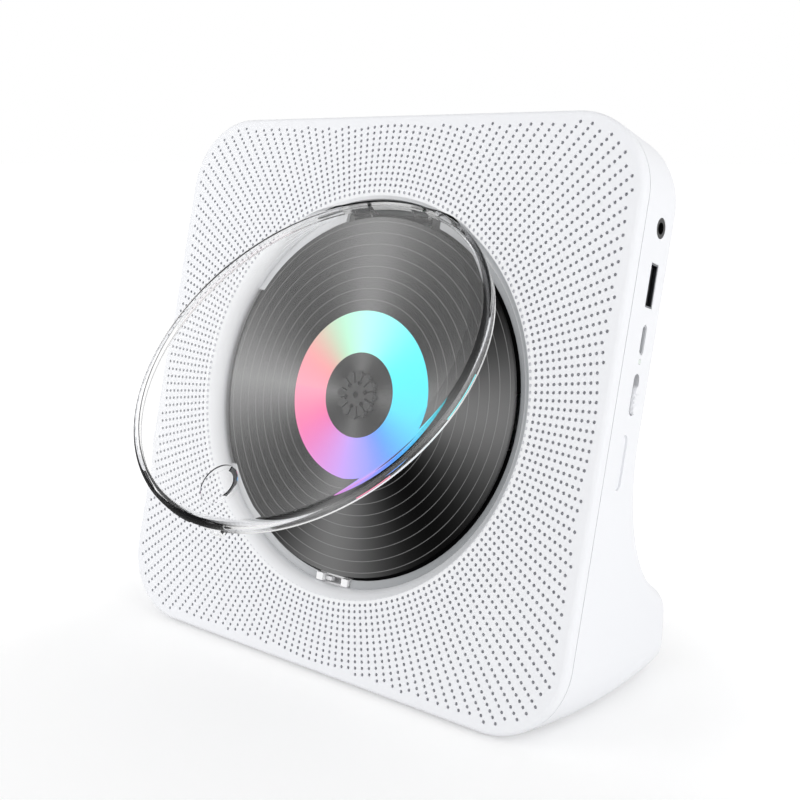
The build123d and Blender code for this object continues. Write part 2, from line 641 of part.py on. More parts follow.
# ---- disc and its drive -------------------------------------------------------------------------
def turntable_hub():
    under = -DISC_TOP - DISC_THICK
    top = -DISC_TOP + HUB_RISE
    hub = disc(under - PLATTER_THICK, under, PLATTER_RADIUS)
    hub += disc(DECK_UNDER + 0.3, under - PLATTER_THICK, 4)
    hub += disc(under, top, HUB_RADIUS)
    for finger in range(FINGERS):
        angle = 360 / FINGERS * finger
        u, v = around(angle, HUB_RADIUS)
        hub += drum(u, v, -DISC_TOP + 0.1, top - 0.2, HUB_BARB - HUB_RADIUS)
        cut = Box(4.6, 0.6, HUB_RISE + 0.6, align=UPWARD)
        middle = around(angle + 180 / FINGERS, HUB_RADIUS - 1)
        hub -= Pos(*middle, -DISC_TOP - 0.6) * Rot(0, 0, angle + 180 / FINGERS) * cut
    return hub - disc(-12, top - 1, SHAFT + 0.02)


def spindle_motor():
    can = disc(-CHASSIS_TOP, -MOTOR_TOP, MOTOR_RADIUS)
    can = chamfer(can.edges().sort_by(Axis.Z)[-1], 0.8)
    return can - disc(-40, 0, SHAFT + SHAFT_RUNNING)


# ---- sled ---------------------------------------------------------------------------------------
def involute(radius, base):
    """Polar angle gained along an involute between its base circle and a radius."""
    slope = acos(min(1.0, base / radius))
    return tan(slope) - slope


def gear(teeth, thick, phase):
    """Spur gear about the origin with a tooth centred at the angle phase, in radians."""
    pitch = MODULE * teeth / 2
    base = pitch * cos(PRESSURE)
    root = pitch - DEDENDUM
    tip = pitch + ADDENDUM
    thickness = pi * MODULE / 2 - BACKLASH / 2
    at_base = thickness / 2 / pitch + involute(pitch, base)
    start = max(base, root)
    flank = [start + (tip - start) * step / 3 for step in range(4)]
    half = [(radius, at_base - involute(radius, base)) for radius in flank]
    if root < base:
        half.insert(0, (root, at_base))
    outline = []
    for tooth in range(teeth):
        middle = phase + 2 * pi * tooth / teeth
        side = [(radius, middle - angle) for radius, angle in half]
        side += [(radius, middle + angle) for radius, angle in reversed(half)]
        outline += [(radius * cos(angle), radius * sin(angle)) for radius, angle in side]
    return extrude(make_face(Polyline(*outline, close=True)), thick)


CHASSIS_POSTS = (
    (-ROD_SPREAD, ROD_SPREAD + 3),
    (-ROD_SPREAD, -ROD_SPREAD - 3),
    (ROD_STOP - 6, ROD_SPREAD + 7),
    (GEAR_U - WHEEL_TEETH * MODULE / 2 - 4, -RACK_DOWN - 7),
)
PITCH = pi * MODULE
RACK_GEAR_PITCH = MODULE * RACK_GEAR_TEETH / 2
WHEEL_PITCH = MODULE * WHEEL_TEETH / 2
PINION_PITCH = MODULE * PINION_TEETH / 2
GEAR_W = -RACK_DOWN - RACK_GEAR_PITCH
PINION_W = GEAR_W - WHEEL_PITCH - PINION_PITCH
WHEEL_UNDER = -CHASSIS_TOP + 0.4
WHEEL_THICK = 1.4
RACK_LOW = -16.2
RACK_TOP = -12.4


def sled_gear():
    at = Pos(GEAR_U, GEAR_W - WELL_DROP, 0)
    wheel = at * Pos(0, 0, WHEEL_UNDER) * gear(WHEEL_TEETH, WHEEL_THICK, pi / 2)
    top = RACK_TOP + 0.2
    small = at * Pos(0, 0, WHEEL_UNDER + WHEEL_THICK) * gear(
        RACK_GEAR_TEETH, top - WHEEL_UNDER - WHEEL_THICK, pi / 2)
    for spoke in range(5):
        turn = 2 * pi * spoke / 5
        wheel -= at * Pos(7.8 * cos(turn), 7.8 * sin(turn), -30) * Cylinder(
            2.2, 30, align=UPWARD)
    return wheel + small - at * Pos(0, 0, -30) * Cylinder(GEAR_PIN + 0.05, 30, align=UPWARD)


def sled_pinion():
    phase = pi / 2 + pi / PINION_TEETH
    pinion = Pos(GEAR_U, PINION_W - WELL_DROP, WHEEL_UNDER) * gear(
        PINION_TEETH, WHEEL_THICK + 0.3, phase)
    return pinion - disc(-40, 0, 0.77, GEAR_U, PINION_W)


def sled_motor():
    can = disc(CHASSIS_UNDER - 6.4, CHASSIS_UNDER, 7.5, GEAR_U, PINION_W)
    can += disc(CHASSIS_UNDER - 7.4, CHASSIS_UNDER - 6.4, 2.2, GEAR_U, PINION_W)
    return can + disc(CHASSIS_UNDER, WHEEL_UNDER + WHEEL_THICK, 0.75, GEAR_U, PINION_W)


def rack():
    """Toothed strip under the carriage that the small gear drives."""
    half = PITCH / 4 - BACKLASH / 4
    slope = tan(PRESSURE)
    body = -RACK_DOWN + DEDENDUM
    outline = [(-18.5, body + 2.3), (-18.5, body)]
    first = GEAR_U - PICKUP_START
    for step in range(-22, 2):
        middle = first + (step + 0.5) * PITCH
        outline += [
            (middle - half - DEDENDUM * slope, body),
            (middle - half + ADDENDUM * slope, -RACK_DOWN - ADDENDUM),
            (middle + half - ADDENDUM * slope, -RACK_DOWN - ADDENDUM),
            (middle + half + DEDENDUM * slope, body),
        ]
    outline += [(21.5, body), (21.5, body + 2.3)]
    strip = extrude(make_face(Polyline(*outline, close=True)), RACK_TOP - RACK_LOW)
    return Pos(PICKUP_START, -WELL_DROP, RACK_LOW) * strip


def pickup_carriage():
    u0 = PICKUP_START - CARRIAGE_HALF
    u1 = PICKUP_START + CARRIAGE_HALF
    spread = ROD_SPREAD + 3.4
    body = slab(u0, u1, DEDENDUM - RACK_DOWN + 1, spread, RACK_LOW, -10.4)
    body -= slab(u0 - 1, u1 + 1, -ROD_SPREAD + 3.4, ROD_SPREAD - 3.4, -12.2, -10)
    body += slab(u0 + 1, u1 - 1, -7.5, 7.5, RACK_LOW, -8.7)
    body += rack()
    for side in (-1, 1):
        body -= bar(
            0, HALF, side * ROD_SPREAD - WELL_DROP, -ROD_DEPTH, ROD_RADIUS + ROD_RUNNING)
    return body - disc(-14, 0, 3.8, PICKUP_START, 0)


def pickup_lens():
    holder = disc(-12.5, -7.9, 3.6, PICKUP_START, 0) - disc(-9, 0, 2.4, PICKUP_START, 0)
    holder += slab(PICKUP_START - 1, PICKUP_START + 1, -1, 1, -14, -12.5)
    return holder, disc(-8.9, -7.6, 2.35, PICKUP_START, 0)


def mechanism_chassis():
    side = ROD_SPREAD + 11
    plate = slab(-MOTOR_RADIUS * 2, ROD_STOP + 0.8, -side, side, CHASSIS_UNDER, -CHASSIS_TOP)
    plate += slab(
        GEAR_U - 20, GEAR_U + 5.4, PINION_W - 5.4, -ROD_SPREAD, CHASSIS_UNDER, -CHASSIS_TOP)
    inner = ROD_SPREAD - 6
    plate -= slab(MOTOR_RADIUS + 4, ROD_STOP - 6, -inner, inner, -30, 0)
    plate -= disc(-30, 0, SHAFT + 0.6)
    plate -= disc(-30, 0, 1.2, GEAR_U, PINION_W)
    plate += disc(-CHASSIS_TOP, RACK_TOP + 0.8, GEAR_PIN, GEAR_U, GEAR_W)
    for w in (-ROD_SPREAD, ROD_SPREAD):
        for u in (ROD_START - 0.5, ROD_STOP + 0.5 - ROD_BLOCK):
            plate += slab(
                u, u + ROD_BLOCK, w - 3.2, w + 3.2, -CHASSIS_TOP, -ROD_DEPTH + 2.1)
        plate -= bar(ROD_START, ROD_STOP, w - WELL_DROP, -ROD_DEPTH, ROD_RADIUS + 0.02)
    for u, w in CHASSIS_POSTS:
        plate -= disc(-30, 0, SHANK + 0.2, u, w)
    return plate


def guide_rods():
    return [
        bar(ROD_START, ROD_STOP, side * ROD_SPREAD - WELL_DROP, -ROD_DEPTH, ROD_RADIUS)
        for side in (-1, 1)
    ]


def chassis_dampers():
    return [
        disc(-CHASSIS_TOP, -CHASSIS_TOP + 1, 3, u, w) - disc(-30, 0, SHANK + 0.2, u, w)
        for u, w in CHASSIS_POSTS
    ]


# ---- speakers, boards, sockets and controls --------------------------------------------------------
def speaker_frame(side):
    at = Pos(side * SPEAKER_PLACE, -SPEAKER_PLACE, 0)
    top = -CASE_WALL - CLOTH_THICK
    frame = at * Pos(0, 0, top - 1.6) * Cylinder(SPEAKER_RADIUS, 1.6, align=UPWARD)
    basket = Cone(MAGNET_RADIUS, SPEAKER_RADIUS - 2.5, 8, align=UPWARD)
    hollow = Cone(MAGNET_RADIUS - 1.6, SPEAKER_RADIUS - 4.1, 8, align=UPWARD)
    frame += at * Pos(0, 0, top - 9.6) * basket
    frame -= at * Pos(0, 0, top - 8.6) * hollow
    frame -= at * Pos(0, 0, top - 0.7) * Cylinder(SPEAKER_RADIUS - 4.1, 1, align=UPWARD)
    return frame + at * Pos(0, 0, -SPEAKER_BACK) * Cylinder(
        MAGNET_RADIUS, SPEAKER_BACK + top - 9.6, align=UPWARD)


def speaker_cones():
    cones = []
    top = -CASE_WALL - CLOTH_THICK
    for side in (-1, 1):
        at = Pos(side * SPEAKER_PLACE, -SPEAKER_PLACE, 0)
        cone = at * Pos(0, 0, top - 7.4) * Cone(4, SPEAKER_RADIUS - 5.6, 5.2, align=UPWARD)
        cone -= at * Pos(0, 0, top - 6.8) * Cone(4, SPEAKER_RADIUS - 5.6, 5.2, align=UPWARD)
        cones.append(cone)
    return cones


def grille_cloth():
    cloth = face_slab(CASE_WALL + FIT + LIP_THICK + 0.5, -CASE_WALL - CLOTH_THICK, -CASE_WALL)
    cloth -= disc(-10, 0, DISH_RADIUS + 0.2)
    for u, v in CASE_SCREWS:
        cloth -= drum(u, v, -10, 0, CASE_BOSS + 0.4)
    for angle in EAR_ANGLES:
        cloth -= drum(*around(angle, EAR_RADIUS), -10, 0, EAR_BOSS + 0.4)
    for side in (-1, 1):
        at = (side * SPEAKER_PLACE, -SPEAKER_PLACE)
        ring = SPEAKER_RADIUS + FIT
        cloth -= drum(*at, -10, 0, ring + SPEAKER_RING + 0.2) - drum(*at, -10, 0, ring - 0.2)
    return cloth


def main_board():
    return block(*MAIN_BOARD, -MAIN_BOARD_DEPTH - BOARD_THICK, -MAIN_BOARD_DEPTH)


def board_parts():
    left, _, low, _ = MAIN_BOARD
    at = Pos(left, low, -MAIN_BOARD_DEPTH)
    chips = [
        block(18, 30, 14, 26, 0, 1.4),
        block(34, 42, 22, 28, 0, 1.2),
        block(4, 12, 18, 30, 0, 1.6),
        block(20, 32, 4, 10, 0, 3.0),
    ]
    cans = [drum(u, v, 0, 6.5, 3.0) for u, v in ((38, 10), (38, 17.5), (12, 10))]
    return [at * piece for piece in chips + cans]


def side_board():
    return block(*SIDE_BOARD, -SIDE_BOARD_DEPTH - BOARD_THICK, -SIDE_BOARD_DEPTH)


def audio_socket():
    inner = WALL_INSIDE - 0.5
    body = block(inner - 12, inner, JACK_V - 3.5, JACK_V + 3.5, -SIDE_BOARD_DEPTH, -12.2)
    body += bar(inner, WALL_OUTSIDE - 0.1, JACK_V, -PORT_DEPTH, JACK_RADIUS)
    return body - bar(inner - 10.5, HALF + 3, JACK_V, -PORT_DEPTH, JACK_BORE)


def data_socket():
    half_v = USB_LONG / 2
    half_n = USB_HIGH / 2
    mouth = WALL_OUTSIDE - 0.2
    low, high = -PORT_DEPTH - half_n, -PORT_DEPTH + half_n
    shell = block(mouth - 14, mouth, USB_V - half_v, USB_V + half_v, low, high)
    shell -= block(
        mouth - 12.5, mouth + 3, USB_V - half_v + 0.4, USB_V + half_v - 0.4,
        low + 0.4, high - 0.4)
    return shell + block(
        mouth - 13, mouth - 1, USB_V - half_v + 0.9, USB_V + half_v - 0.9,
        -PORT_DEPTH - 1.6, -PORT_DEPTH + 0.1)


def charge_socket():
    mouth = WALL_OUTSIDE - 0.2
    depth = -PORT_DEPTH
    shell = pill(mouth - 8.5, mouth, CHARGE_V, depth, CHARGE_LONG, CHARGE_HIGH)
    shell -= pill(mouth - 7.5, mouth + 3, CHARGE_V, depth, CHARGE_LONG - 0.6, CHARGE_HIGH - 0.6)
    shell += block(
        mouth - 8, mouth - 1, CHARGE_V - 3.2, CHARGE_V + 3.2, depth - 0.35, depth + 0.35)
    legs = [
        block(mouth - 8.5, mouth - 4.5, CHARGE_V + side * 3 - 0.4, CHARGE_V + side * 3 + 0.4,
              -SIDE_BOARD_DEPTH, depth - CHARGE_HIGH / 2 + 0.3)
        for side in (-1, 1)
    ]
    return shell + legs


def power_switch():
    out = WALL_INSIDE - 1.1
    half = SWITCH_LONG / 2
    depth = -PORT_DEPTH
    body = block(
        out - 7.6, out, SWITCH_V - half - 0.9, SWITCH_V + half + 0.9,
        -SIDE_BOARD_DEPTH, depth + 2.2)
    return body - block(
        out - 2.6, out + 1, SWITCH_V - half + 0.6, SWITCH_V + half - 0.6, depth - 1.1, depth + 1.1)


def power_knob():
    low = SWITCH_V - SWITCH_LONG / 2 + KNOB_START
    high = low + KNOB_LONG
    half = SWITCH_HIGH / 2 - 0.3
    out = WALL_OUTSIDE + KNOB_PROUD
    back = WALL_INSIDE - 0.8
    knob = block(back, out, low, high, -PORT_DEPTH - half, -PORT_DEPTH + half)
    knob = fillet(knob.edges().filter_by(Axis.X), half - 0.05)
    for step in (-1, 0, 1):
        middle = (low + high) / 2 + step * 1.5
        knob -= block(out - 0.5, out + 1, middle - 0.35, middle + 0.35, -30, 0)
    middle = (low + high) / 2
    return knob + block(
        back - 2.3, back, middle - 2.0, middle + 2.0, -PORT_DEPTH - 0.8, -PORT_DEPTH + 0.8)


def top_button(place):
    u = place * BUTTON_PITCH
    top = WALL_OUTSIDE + BUTTON_PROUD
    flange = WALL_INSIDE - 0.5
    cap = stem(u, flange - 1.2, top, -PORT_DEPTH, BUTTON_RADIUS)
    cap = fillet(cap.edges().sort_by(Axis.Y)[-1], 0.5)
    return cap + stem(u, flange - BUTTON_FLANGE, flange, -PORT_DEPTH, BUTTON_RADIUS + 0.8)


def button_board():
    half = 2 * BUTTON_PITCH + 10
    low = BUTTON_BOARD_V - BOARD_THICK
    return block(-half, half, low, BUTTON_BOARD_V, -PORT_DEPTH - 11, -PORT_DEPTH + 5)


def button_switches():
    return [
        block(u - 3, u + 3, BUTTON_BOARD_V, BUTTON_BOARD_V + 3.6, -PORT_DEPTH - 3, -PORT_DEPTH + 3)
        + stem(
            u, BUTTON_BOARD_V + 3.6, WALL_INSIDE - 0.6 - BUTTON_FLANGE - BUTTON_TRAVEL,
            -PORT_DEPTH, 1.7)
        for u in (place * BUTTON_PITCH for place in range(-2, 3))
    ]


def battery_cells():
    return [
        bar(-CELL_LENGTH / 2, CELL_LENGTH / 2, v, n, CELL_RADIUS)
        + bar(CELL_LENGTH / 2, CELL_LENGTH / 2 + 1, v, n, 2.8)
        for v, n in CELL_PLACES
    ]


def battery_holder():
    """Tray that stands on the sole of the case and holds both cells."""
    half = CELL_LENGTH / 2
    rear = -CELL_DEPTHS[-1] - CELL_RADIUS - 1.3
    front = -CELL_DEPTHS[0] + CELL_RADIUS + 1
    cradle = block(-half - 3.5, half + 3.5, -HALF, CELL_UP - HALF - 1.5, rear, front)
    for v, n in CELL_PLACES:
        cradle -= bar(-half - 1.3, half + 1.3, v, n, CELL_RADIUS + 0.2)
    return cradle & rear_form(CASE_WALL, -RIM_DEPTH - SEAM)


def main():
    os.makedirs("parts", exist_ok=True)
    save("front_shell", front_shell())
    save("rear_shell", rear_shell())
    save("rubber_feet", *rubber_feet(), placed=True)
    save("case_screws", *screws(CASE_SCREWS, -TUNNEL_FLOOR, -CASE_WALL - 2.5))
    save("grille_cloth", grille_cloth())

    save("well_ring", well_ring())
    save("disc_deck", disc_deck())
    ears = [around(angle, EAR_RADIUS) for angle in EAR_ANGLES]
    save("deck_screws", *screws(ears, DECK_UNDER, -EAR_BOSS_TOP - 0.5))
    save("catch_guide", catch_guide())
    save("cover_catch", cover_catch())
    save("dust_cover", dust_cover())
    save("hinge_pin", bar(-PIN_HALF, PIN_HALF, *HINGE, PIN_RADIUS))

    save("compact_disc", disc(-DISC_TOP - DISC_THICK, -DISC_TOP, DISC_RADIUS)
         - disc(-10, 0, DISC_HOLE))
    save("turntable_hub", turntable_hub())
    save("spindle_shaft", disc(CHASSIS_UNDER + 0.4, -DISC_TOP + HUB_RISE - 1.2, SHAFT))
    save("spindle_motor", spindle_motor())

    save("mechanism_chassis", mechanism_chassis())
    save("chassis_dampers", *chassis_dampers())
    posts = [(u, w - WELL_DROP) for u, w in CHASSIS_POSTS]
    save("chassis_screws", *screws(posts, CHASSIS_UNDER, DECK_UNDER - 3.5))
    save("guide_rods", *guide_rods())
    save("pickup_carriage", pickup_carriage())
    save("pickup_lens", *pickup_lens())
    save("sled_gear", sled_gear())
    save("sled_pinion", sled_pinion())
    save("sled_motor", sled_motor())

    save("speaker_left", speaker_frame(-1))
    save("speaker_right", speaker_frame(1))
    save("speaker_cones", *speaker_cones())
    save("main_board", main_board())
    save("board_parts", *board_parts())
    save("side_board", side_board())
    save("audio_socket", audio_socket())
    save("data_socket", data_socket())
    save("charge_socket", charge_socket())
    save("status_light", bar(
        WALL_INSIDE - 2.7, WALL_OUTSIDE, LED_V, -PORT_DEPTH, LED_RADIUS))
    save("power_switch", power_switch())
    save("power_knob", power_knob())
    for place, name in enumerate(BUTTON_NAMES):
        save(f"button_{name}", top_button(place - 2))
    save("button_board", button_board())
    save("button_switches", *button_switches())
    save("battery_cells", *battery_cells())
    save("battery_holder", battery_holder())


if __name__ == "__main__":
    main()
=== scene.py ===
"""Looks of a disc player with a perforated front, built round its CAD frame.

Lengths are metres in the row frame. Named sizes are millimetres unless their class says
otherwise, and MM turns them into metres. Colours and tones are written from 0 to 255.
"""

import sys

import logging
import math
from contextlib import contextmanager
from dataclasses import dataclass
from enum import Enum
from typing import Callable, Iterator, List, Mapping, Optional, Sequence, Tuple

import bpy
from bpy.types import Material, MeshPolygon, Node, NodeSocket, NodeTree, Object
from mathutils import Matrix, Vector

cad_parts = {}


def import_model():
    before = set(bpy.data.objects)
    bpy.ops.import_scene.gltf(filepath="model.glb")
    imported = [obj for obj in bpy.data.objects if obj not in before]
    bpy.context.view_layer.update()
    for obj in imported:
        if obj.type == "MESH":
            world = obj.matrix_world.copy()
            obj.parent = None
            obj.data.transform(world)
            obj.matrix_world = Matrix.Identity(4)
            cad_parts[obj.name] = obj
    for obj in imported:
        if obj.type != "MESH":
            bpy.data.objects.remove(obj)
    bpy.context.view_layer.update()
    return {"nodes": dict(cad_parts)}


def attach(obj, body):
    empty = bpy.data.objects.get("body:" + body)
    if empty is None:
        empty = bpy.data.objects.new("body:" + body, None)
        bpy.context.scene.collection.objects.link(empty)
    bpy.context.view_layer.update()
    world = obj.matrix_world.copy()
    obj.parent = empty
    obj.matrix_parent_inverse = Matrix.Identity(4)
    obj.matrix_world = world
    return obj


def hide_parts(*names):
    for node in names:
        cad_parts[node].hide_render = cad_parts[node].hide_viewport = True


LOG = logging.getLogger("player")
MM = 0.001
LEAN = math.radians(15.0)
FACE_ORIGIN = Vector((0.0, 4.6, 91.666)) * MM
WELL_DROP = 1.0
WHITE = (255, 255, 255)
GRAIN_DEPTH = 0.02
GRAIN_STRENGTH = 0.25
GRAIN_DETAIL = 3.0
PATCH_DETAIL = 4.0
PATCH_RANGE = (0.3, 0.7)
SMOOTHEST = 0.02
COAT_ROUGHNESS = 0.08
SAME_WAY = 0.99999
MERGE = 0.001
Colour = Tuple[float, float, float]
Corner = Tuple[float, float, float]
Box = Tuple[Corner, Corner]
Point = Tuple[float, float]
Tones = Sequence[Tuple[float, float]]
FaceTest = Callable[[MeshPolygon], bool]


def face_matrix(drop: float = 0.0) -> Matrix:
    """Placing of the leaning face: x across, y up the face, z out of it.

    Args:
        drop: how far below the middle of the face the origin lies, in millimetres.
    Returns:
        The matrix that takes face coordinates in metres to the row frame.
    """
    turn = Matrix.Rotation(math.pi / 2 - LEAN, 4, "X")
    return Matrix.Translation(FACE_ORIGIN) @ turn @ Matrix.Translation((0, -drop * MM, 0))


# ---- finishes ----


class Surface(Enum):
    """How finely a surface is broken up: the scale of its grain."""

    POLISHED = 0.0
    SATIN = 900.0
    MATTE = 2600.0


def linear(value: float) -> float:
    """Linear light of one colour channel."""
    part = value / 255.0
    return part / 12.92 if part <= 0.04045 else ((part + 0.055) / 1.055) ** 2.4


def rgba(colour: Colour) -> Tuple[float, float, float, float]:
    """Linear colour with full cover."""
    return (*(linear(c) for c in colour), 1.0)


def along(angle: float) -> float:
    """Where an angle from -180 to 180 degrees falls on a ramp round the well."""
    return angle / 360.0 + 0.5


class Tree:
    """Small helper round a node tree."""

    def __init__(self, tree: NodeTree) -> None:
        self.tree = tree

    def add(
        self, kind: str, inputs: Optional[Mapping[object, object]] = None, **settings: object
    ) -> Node:
        """Adds a node of a kind, with properties from settings, and fills its inputs."""
        node = self.tree.nodes.new(kind)
        for key, value in settings.items():
            setattr(node, key, value)
        self.fill(node, inputs or {})
        return node

    def fill(self, node: Node, inputs: Mapping[object, object]) -> None:
        """Gives inputs, by name or place, a socket to follow or a fixed value."""
        for key, value in inputs.items():
            if isinstance(value, NodeSocket):
                self.tree.links.new(value, node.inputs[key])
            else:
                node.inputs[key].default_value = value

    def math(self, operation: str, *inputs: object) -> NodeSocket:
        """A maths node whose inputs are sockets or numbers."""
        node = self.add("ShaderNodeMath", dict(enumerate(inputs)), operation=operation)
        return node.outputs["Value"]

    def split(self, vector: NodeSocket) -> Mapping[str, NodeSocket]:
        """The X, Y and Z of a vector."""
        return self.add("ShaderNodeSeparateXYZ", {"Vector": vector}).outputs

    def span(
        self, source: NodeSocket, seen: Point, given: Point = (0.0, 1.0), **settings: object
    ) -> NodeSocket:
        """Stretches the source's range seen on to the range given."""
        inputs = {"Value": source, "From Min": seen[0], "From Max": seen[1],
                  "To Min": given[0], "To Max": given[1]}
        return self.add("ShaderNodeMapRange", inputs, **settings).outputs["Result"]

    def seen(self) -> NodeSocket:
        """One for what the camera sees, straight or through mirrors and clear plastic."""
        path = self.add("ShaderNodeLightPath").outputs
        bent = self.math("MAXIMUM", path["Is Glossy Ray"], path["Is Transmission Ray"])
        return self.math("MAXIMUM", path["Is Camera Ray"], bent)


class Nodes(Tree):
    """Small helper round one material."""

    def __init__(self, name: str) -> None:
        self.material = bpy.data.materials.new(name)
        self.material.use_nodes = True
        super().__init__(self.material.node_tree)
        self.shader = self.tree.nodes["Principled BSDF"]
        self.output = self.tree.nodes["Material Output"]

    def put(self, inputs: Mapping[object, object]) -> None:
        """Fills inputs of the shader."""
        self.fill(self.shader, inputs)

    def object_point(self) -> NodeSocket:
        """The place on the object."""
        return self.add("ShaderNodeTexCoord").outputs["Object"]

    def well_point(self) -> Mapping[str, NodeSocket]:
        """The place measured from the middle of the well, in metres: X across, Y up, Z out."""
        inputs = {"Vector": self.object_point(),
                  "Location": face_matrix(WELL_DROP).translation,
                  "Rotation": (math.pi / 2 - LEAN, 0.0, 0.0)}
        mapping = self.add("ShaderNodeMapping", inputs, vector_type="TEXTURE")
        return self.split(mapping.outputs["Vector"])

    def turn(self) -> NodeSocket:
        """The angle round the well, from 0 to 1; half is to the right."""
        place = self.well_point()
        return self.math("MULTIPLY_ADD", self.math("ARCTAN2", place["Y"], place["X"]),
                         0.5 / math.pi, 0.5)

    def away(self) -> NodeSocket:
        """The distance from the axis of the well, in metres."""
        place = self.well_point()
        squares = [self.math("MULTIPLY", place[n], place[n]) for n in "XY"]
        return self.math("SQRT", self.math("ADD", *squares))

    def ramp(self, source: NodeSocket, stops: Sequence[Tuple[float, Colour]]) -> NodeSocket:
        """Soft colour ramp.

        Args:
            source: the value from 0 to 1 that picks the colour.
            stops: places and colours.
        Returns:
            The ramp's colour socket.
        """
        node = self.add("ShaderNodeValToRGB", {"Fac": source})
        ramp = node.color_ramp
        ramp.interpolation = "B_SPLINE"
        while len(ramp.elements) < len(stops):
            ramp.elements.new(0.5)
        for element, (place, _) in zip(ramp.elements, stops):
            element.position = place
        for element, (_, colour) in zip(ramp.elements, stops):
            element.color = rgba(colour)
        return node.outputs["Color"]

    def greys(self, source: NodeSocket, tones: Tones) -> NodeSocket:
        """Soft ramp of greys, from places and tones."""
        return self.ramp(source, [(place, (tone, tone, tone)) for place, tone in tones])

    def mix(self, factor: object, first: object, second: object) -> NodeSocket:
        """Colour mix whose inputs are sockets or colours."""
        node = self.add("ShaderNodeMix", data_type="RGBA")
        for name, value in (("Factor", factor), ("A", first), ("B", second)):
            key = [k for k, s in enumerate(node.inputs) if s.name == name and s.enabled][0]
            self.fill(node, {key: rgba(value) if isinstance(value, tuple) else value})
        return [s for s in node.outputs if s.enabled][0]

    def blend(self, factor: NodeSocket, first: Node, second: Node) -> Node:
        """Mixes two shaders."""
        return self.add(
            "ShaderNodeMixShader", {0: factor, 1: first.outputs[0], 2: second.outputs[0]})

    def noise(self, scale: float, detail: float) -> NodeSocket:
        """Noise over the object."""
        inputs = {"Scale": scale, "Detail": detail, "Vector": self.object_point()}
        return self.add("ShaderNodeTexNoise", inputs).outputs["Fac"]

    def relief(self, height: NodeSocket, depth: float, strength: float = 1.0) -> None:
        """Bump that follows a height."""
        inputs = {"Distance": depth, "Strength": strength, "Height": height}
        self.put({"Normal": self.add("ShaderNodeBump", inputs).outputs["Normal"]})

    def grain(self, surface: Surface) -> None:
        """Fine moulded or cast texture on the whole surface."""
        self.relief(self.noise(surface.value, GRAIN_DETAIL), GRAIN_DEPTH * MM, GRAIN_STRENGTH)

    def uneven(self, low: float, high: float, scale: float = 60.0) -> None:
        """Lets the roughness wander between two values."""
        self.put({"Roughness": self.span(
            self.noise(scale, PATCH_DETAIL), PATCH_RANGE, (low, high))})


@dataclass(frozen=True)
class Look:
    """A finish that sets up a material of its own name."""

    name: str

    def dress(self, nodes: Nodes) -> None:
        """Sets up the material's nodes."""
        raise NotImplementedError

    def build(self) -> Material:
        """Makes the material.

        Returns:
            The material, ready for a mesh.
        """
        nodes = Nodes(self.name)
        self.dress(nodes)
        return nodes.material


@dataclass(frozen=True)
class Finish(Look):
    """One plain finish: a colour, how rough it is and how it is broken up."""

    colour: Colour
    roughness: float = 0.4
    metal: float = 0.0
    specular: float = 0.5
    coat: float = 0.0
    surface: Surface = Surface.SATIN
    wander: float = 0.06

    def dress(self, nodes: Nodes) -> None:
        """Uneven roughness and a fine grain on one colour."""
        nodes.put({
            "Base Color": rgba(self.colour), "Metallic": self.metal,
            "Specular IOR Level": self.specular, "Coat Weight": self.coat,
            "Coat Roughness": COAT_ROUGHNESS})
        nodes.uneven(max(SMOOTHEST, self.roughness - self.wander), self.roughness + self.wander)
        if self.surface is not Surface.POLISHED:
            nodes.grain(self.surface)


WHITE_SHELL = Finish("white_shell", (238, 239, 242), 0.34, specular=0.1, wander=0.05)


@dataclass(frozen=True)
class ClearFinish(Look):
    """Clear moulded plastic with painted dark reflections and a painted milky highlight where
    its faces say so.
    """

    name: str = "clear_cover"
    # painted dark reflection: the tint, the dark colour and how much of it covers the plastic
    painted_dark: Colour = (52, 53, 55)
    painted_dark_colour: Colour = (26, 26, 27)
    painted_dark_share: float = 0.9
    index: float = 1.49
    shadow: float = 0.98

    def dress(self, nodes: Nodes) -> None:
        """Reads the face attributes for painted dark reflection and painted highlight; shadow
        rays pass almost unhindered.
        """
        painted_dark, painted_glint = (nodes.add("ShaderNodeAttribute", attribute_name=name).outputs["Fac"]
                       for name in ("painted_dark", "painted_glint"))
        nodes.put({
            "Base Color": nodes.mix(painted_dark, WHITE, self.painted_dark), "IOR": self.index,
            "Transmission Weight": nodes.math("SUBTRACT", 1.0, painted_glint), "Roughness": 0.0})
        dark = nodes.add("ShaderNodeBsdfDiffuse", {"Color": rgba(self.painted_dark_colour)})
        shaded = nodes.blend(nodes.math("MULTIPLY", painted_dark, self.painted_dark_share), nodes.shader, dark)
        path = nodes.add("ShaderNodeLightPath").outputs
        through = nodes.math("MAXIMUM", path["Is Shadow Ray"], path["Is Diffuse Ray"])
        passed = (self.shadow, self.shadow, self.shadow, 1.0)
        clear = nodes.add("ShaderNodeBsdfTransparent", {"Color": passed})
        nodes.fill(nodes.output, {"Surface": nodes.blend(through, shaded, clear).outputs[0]})


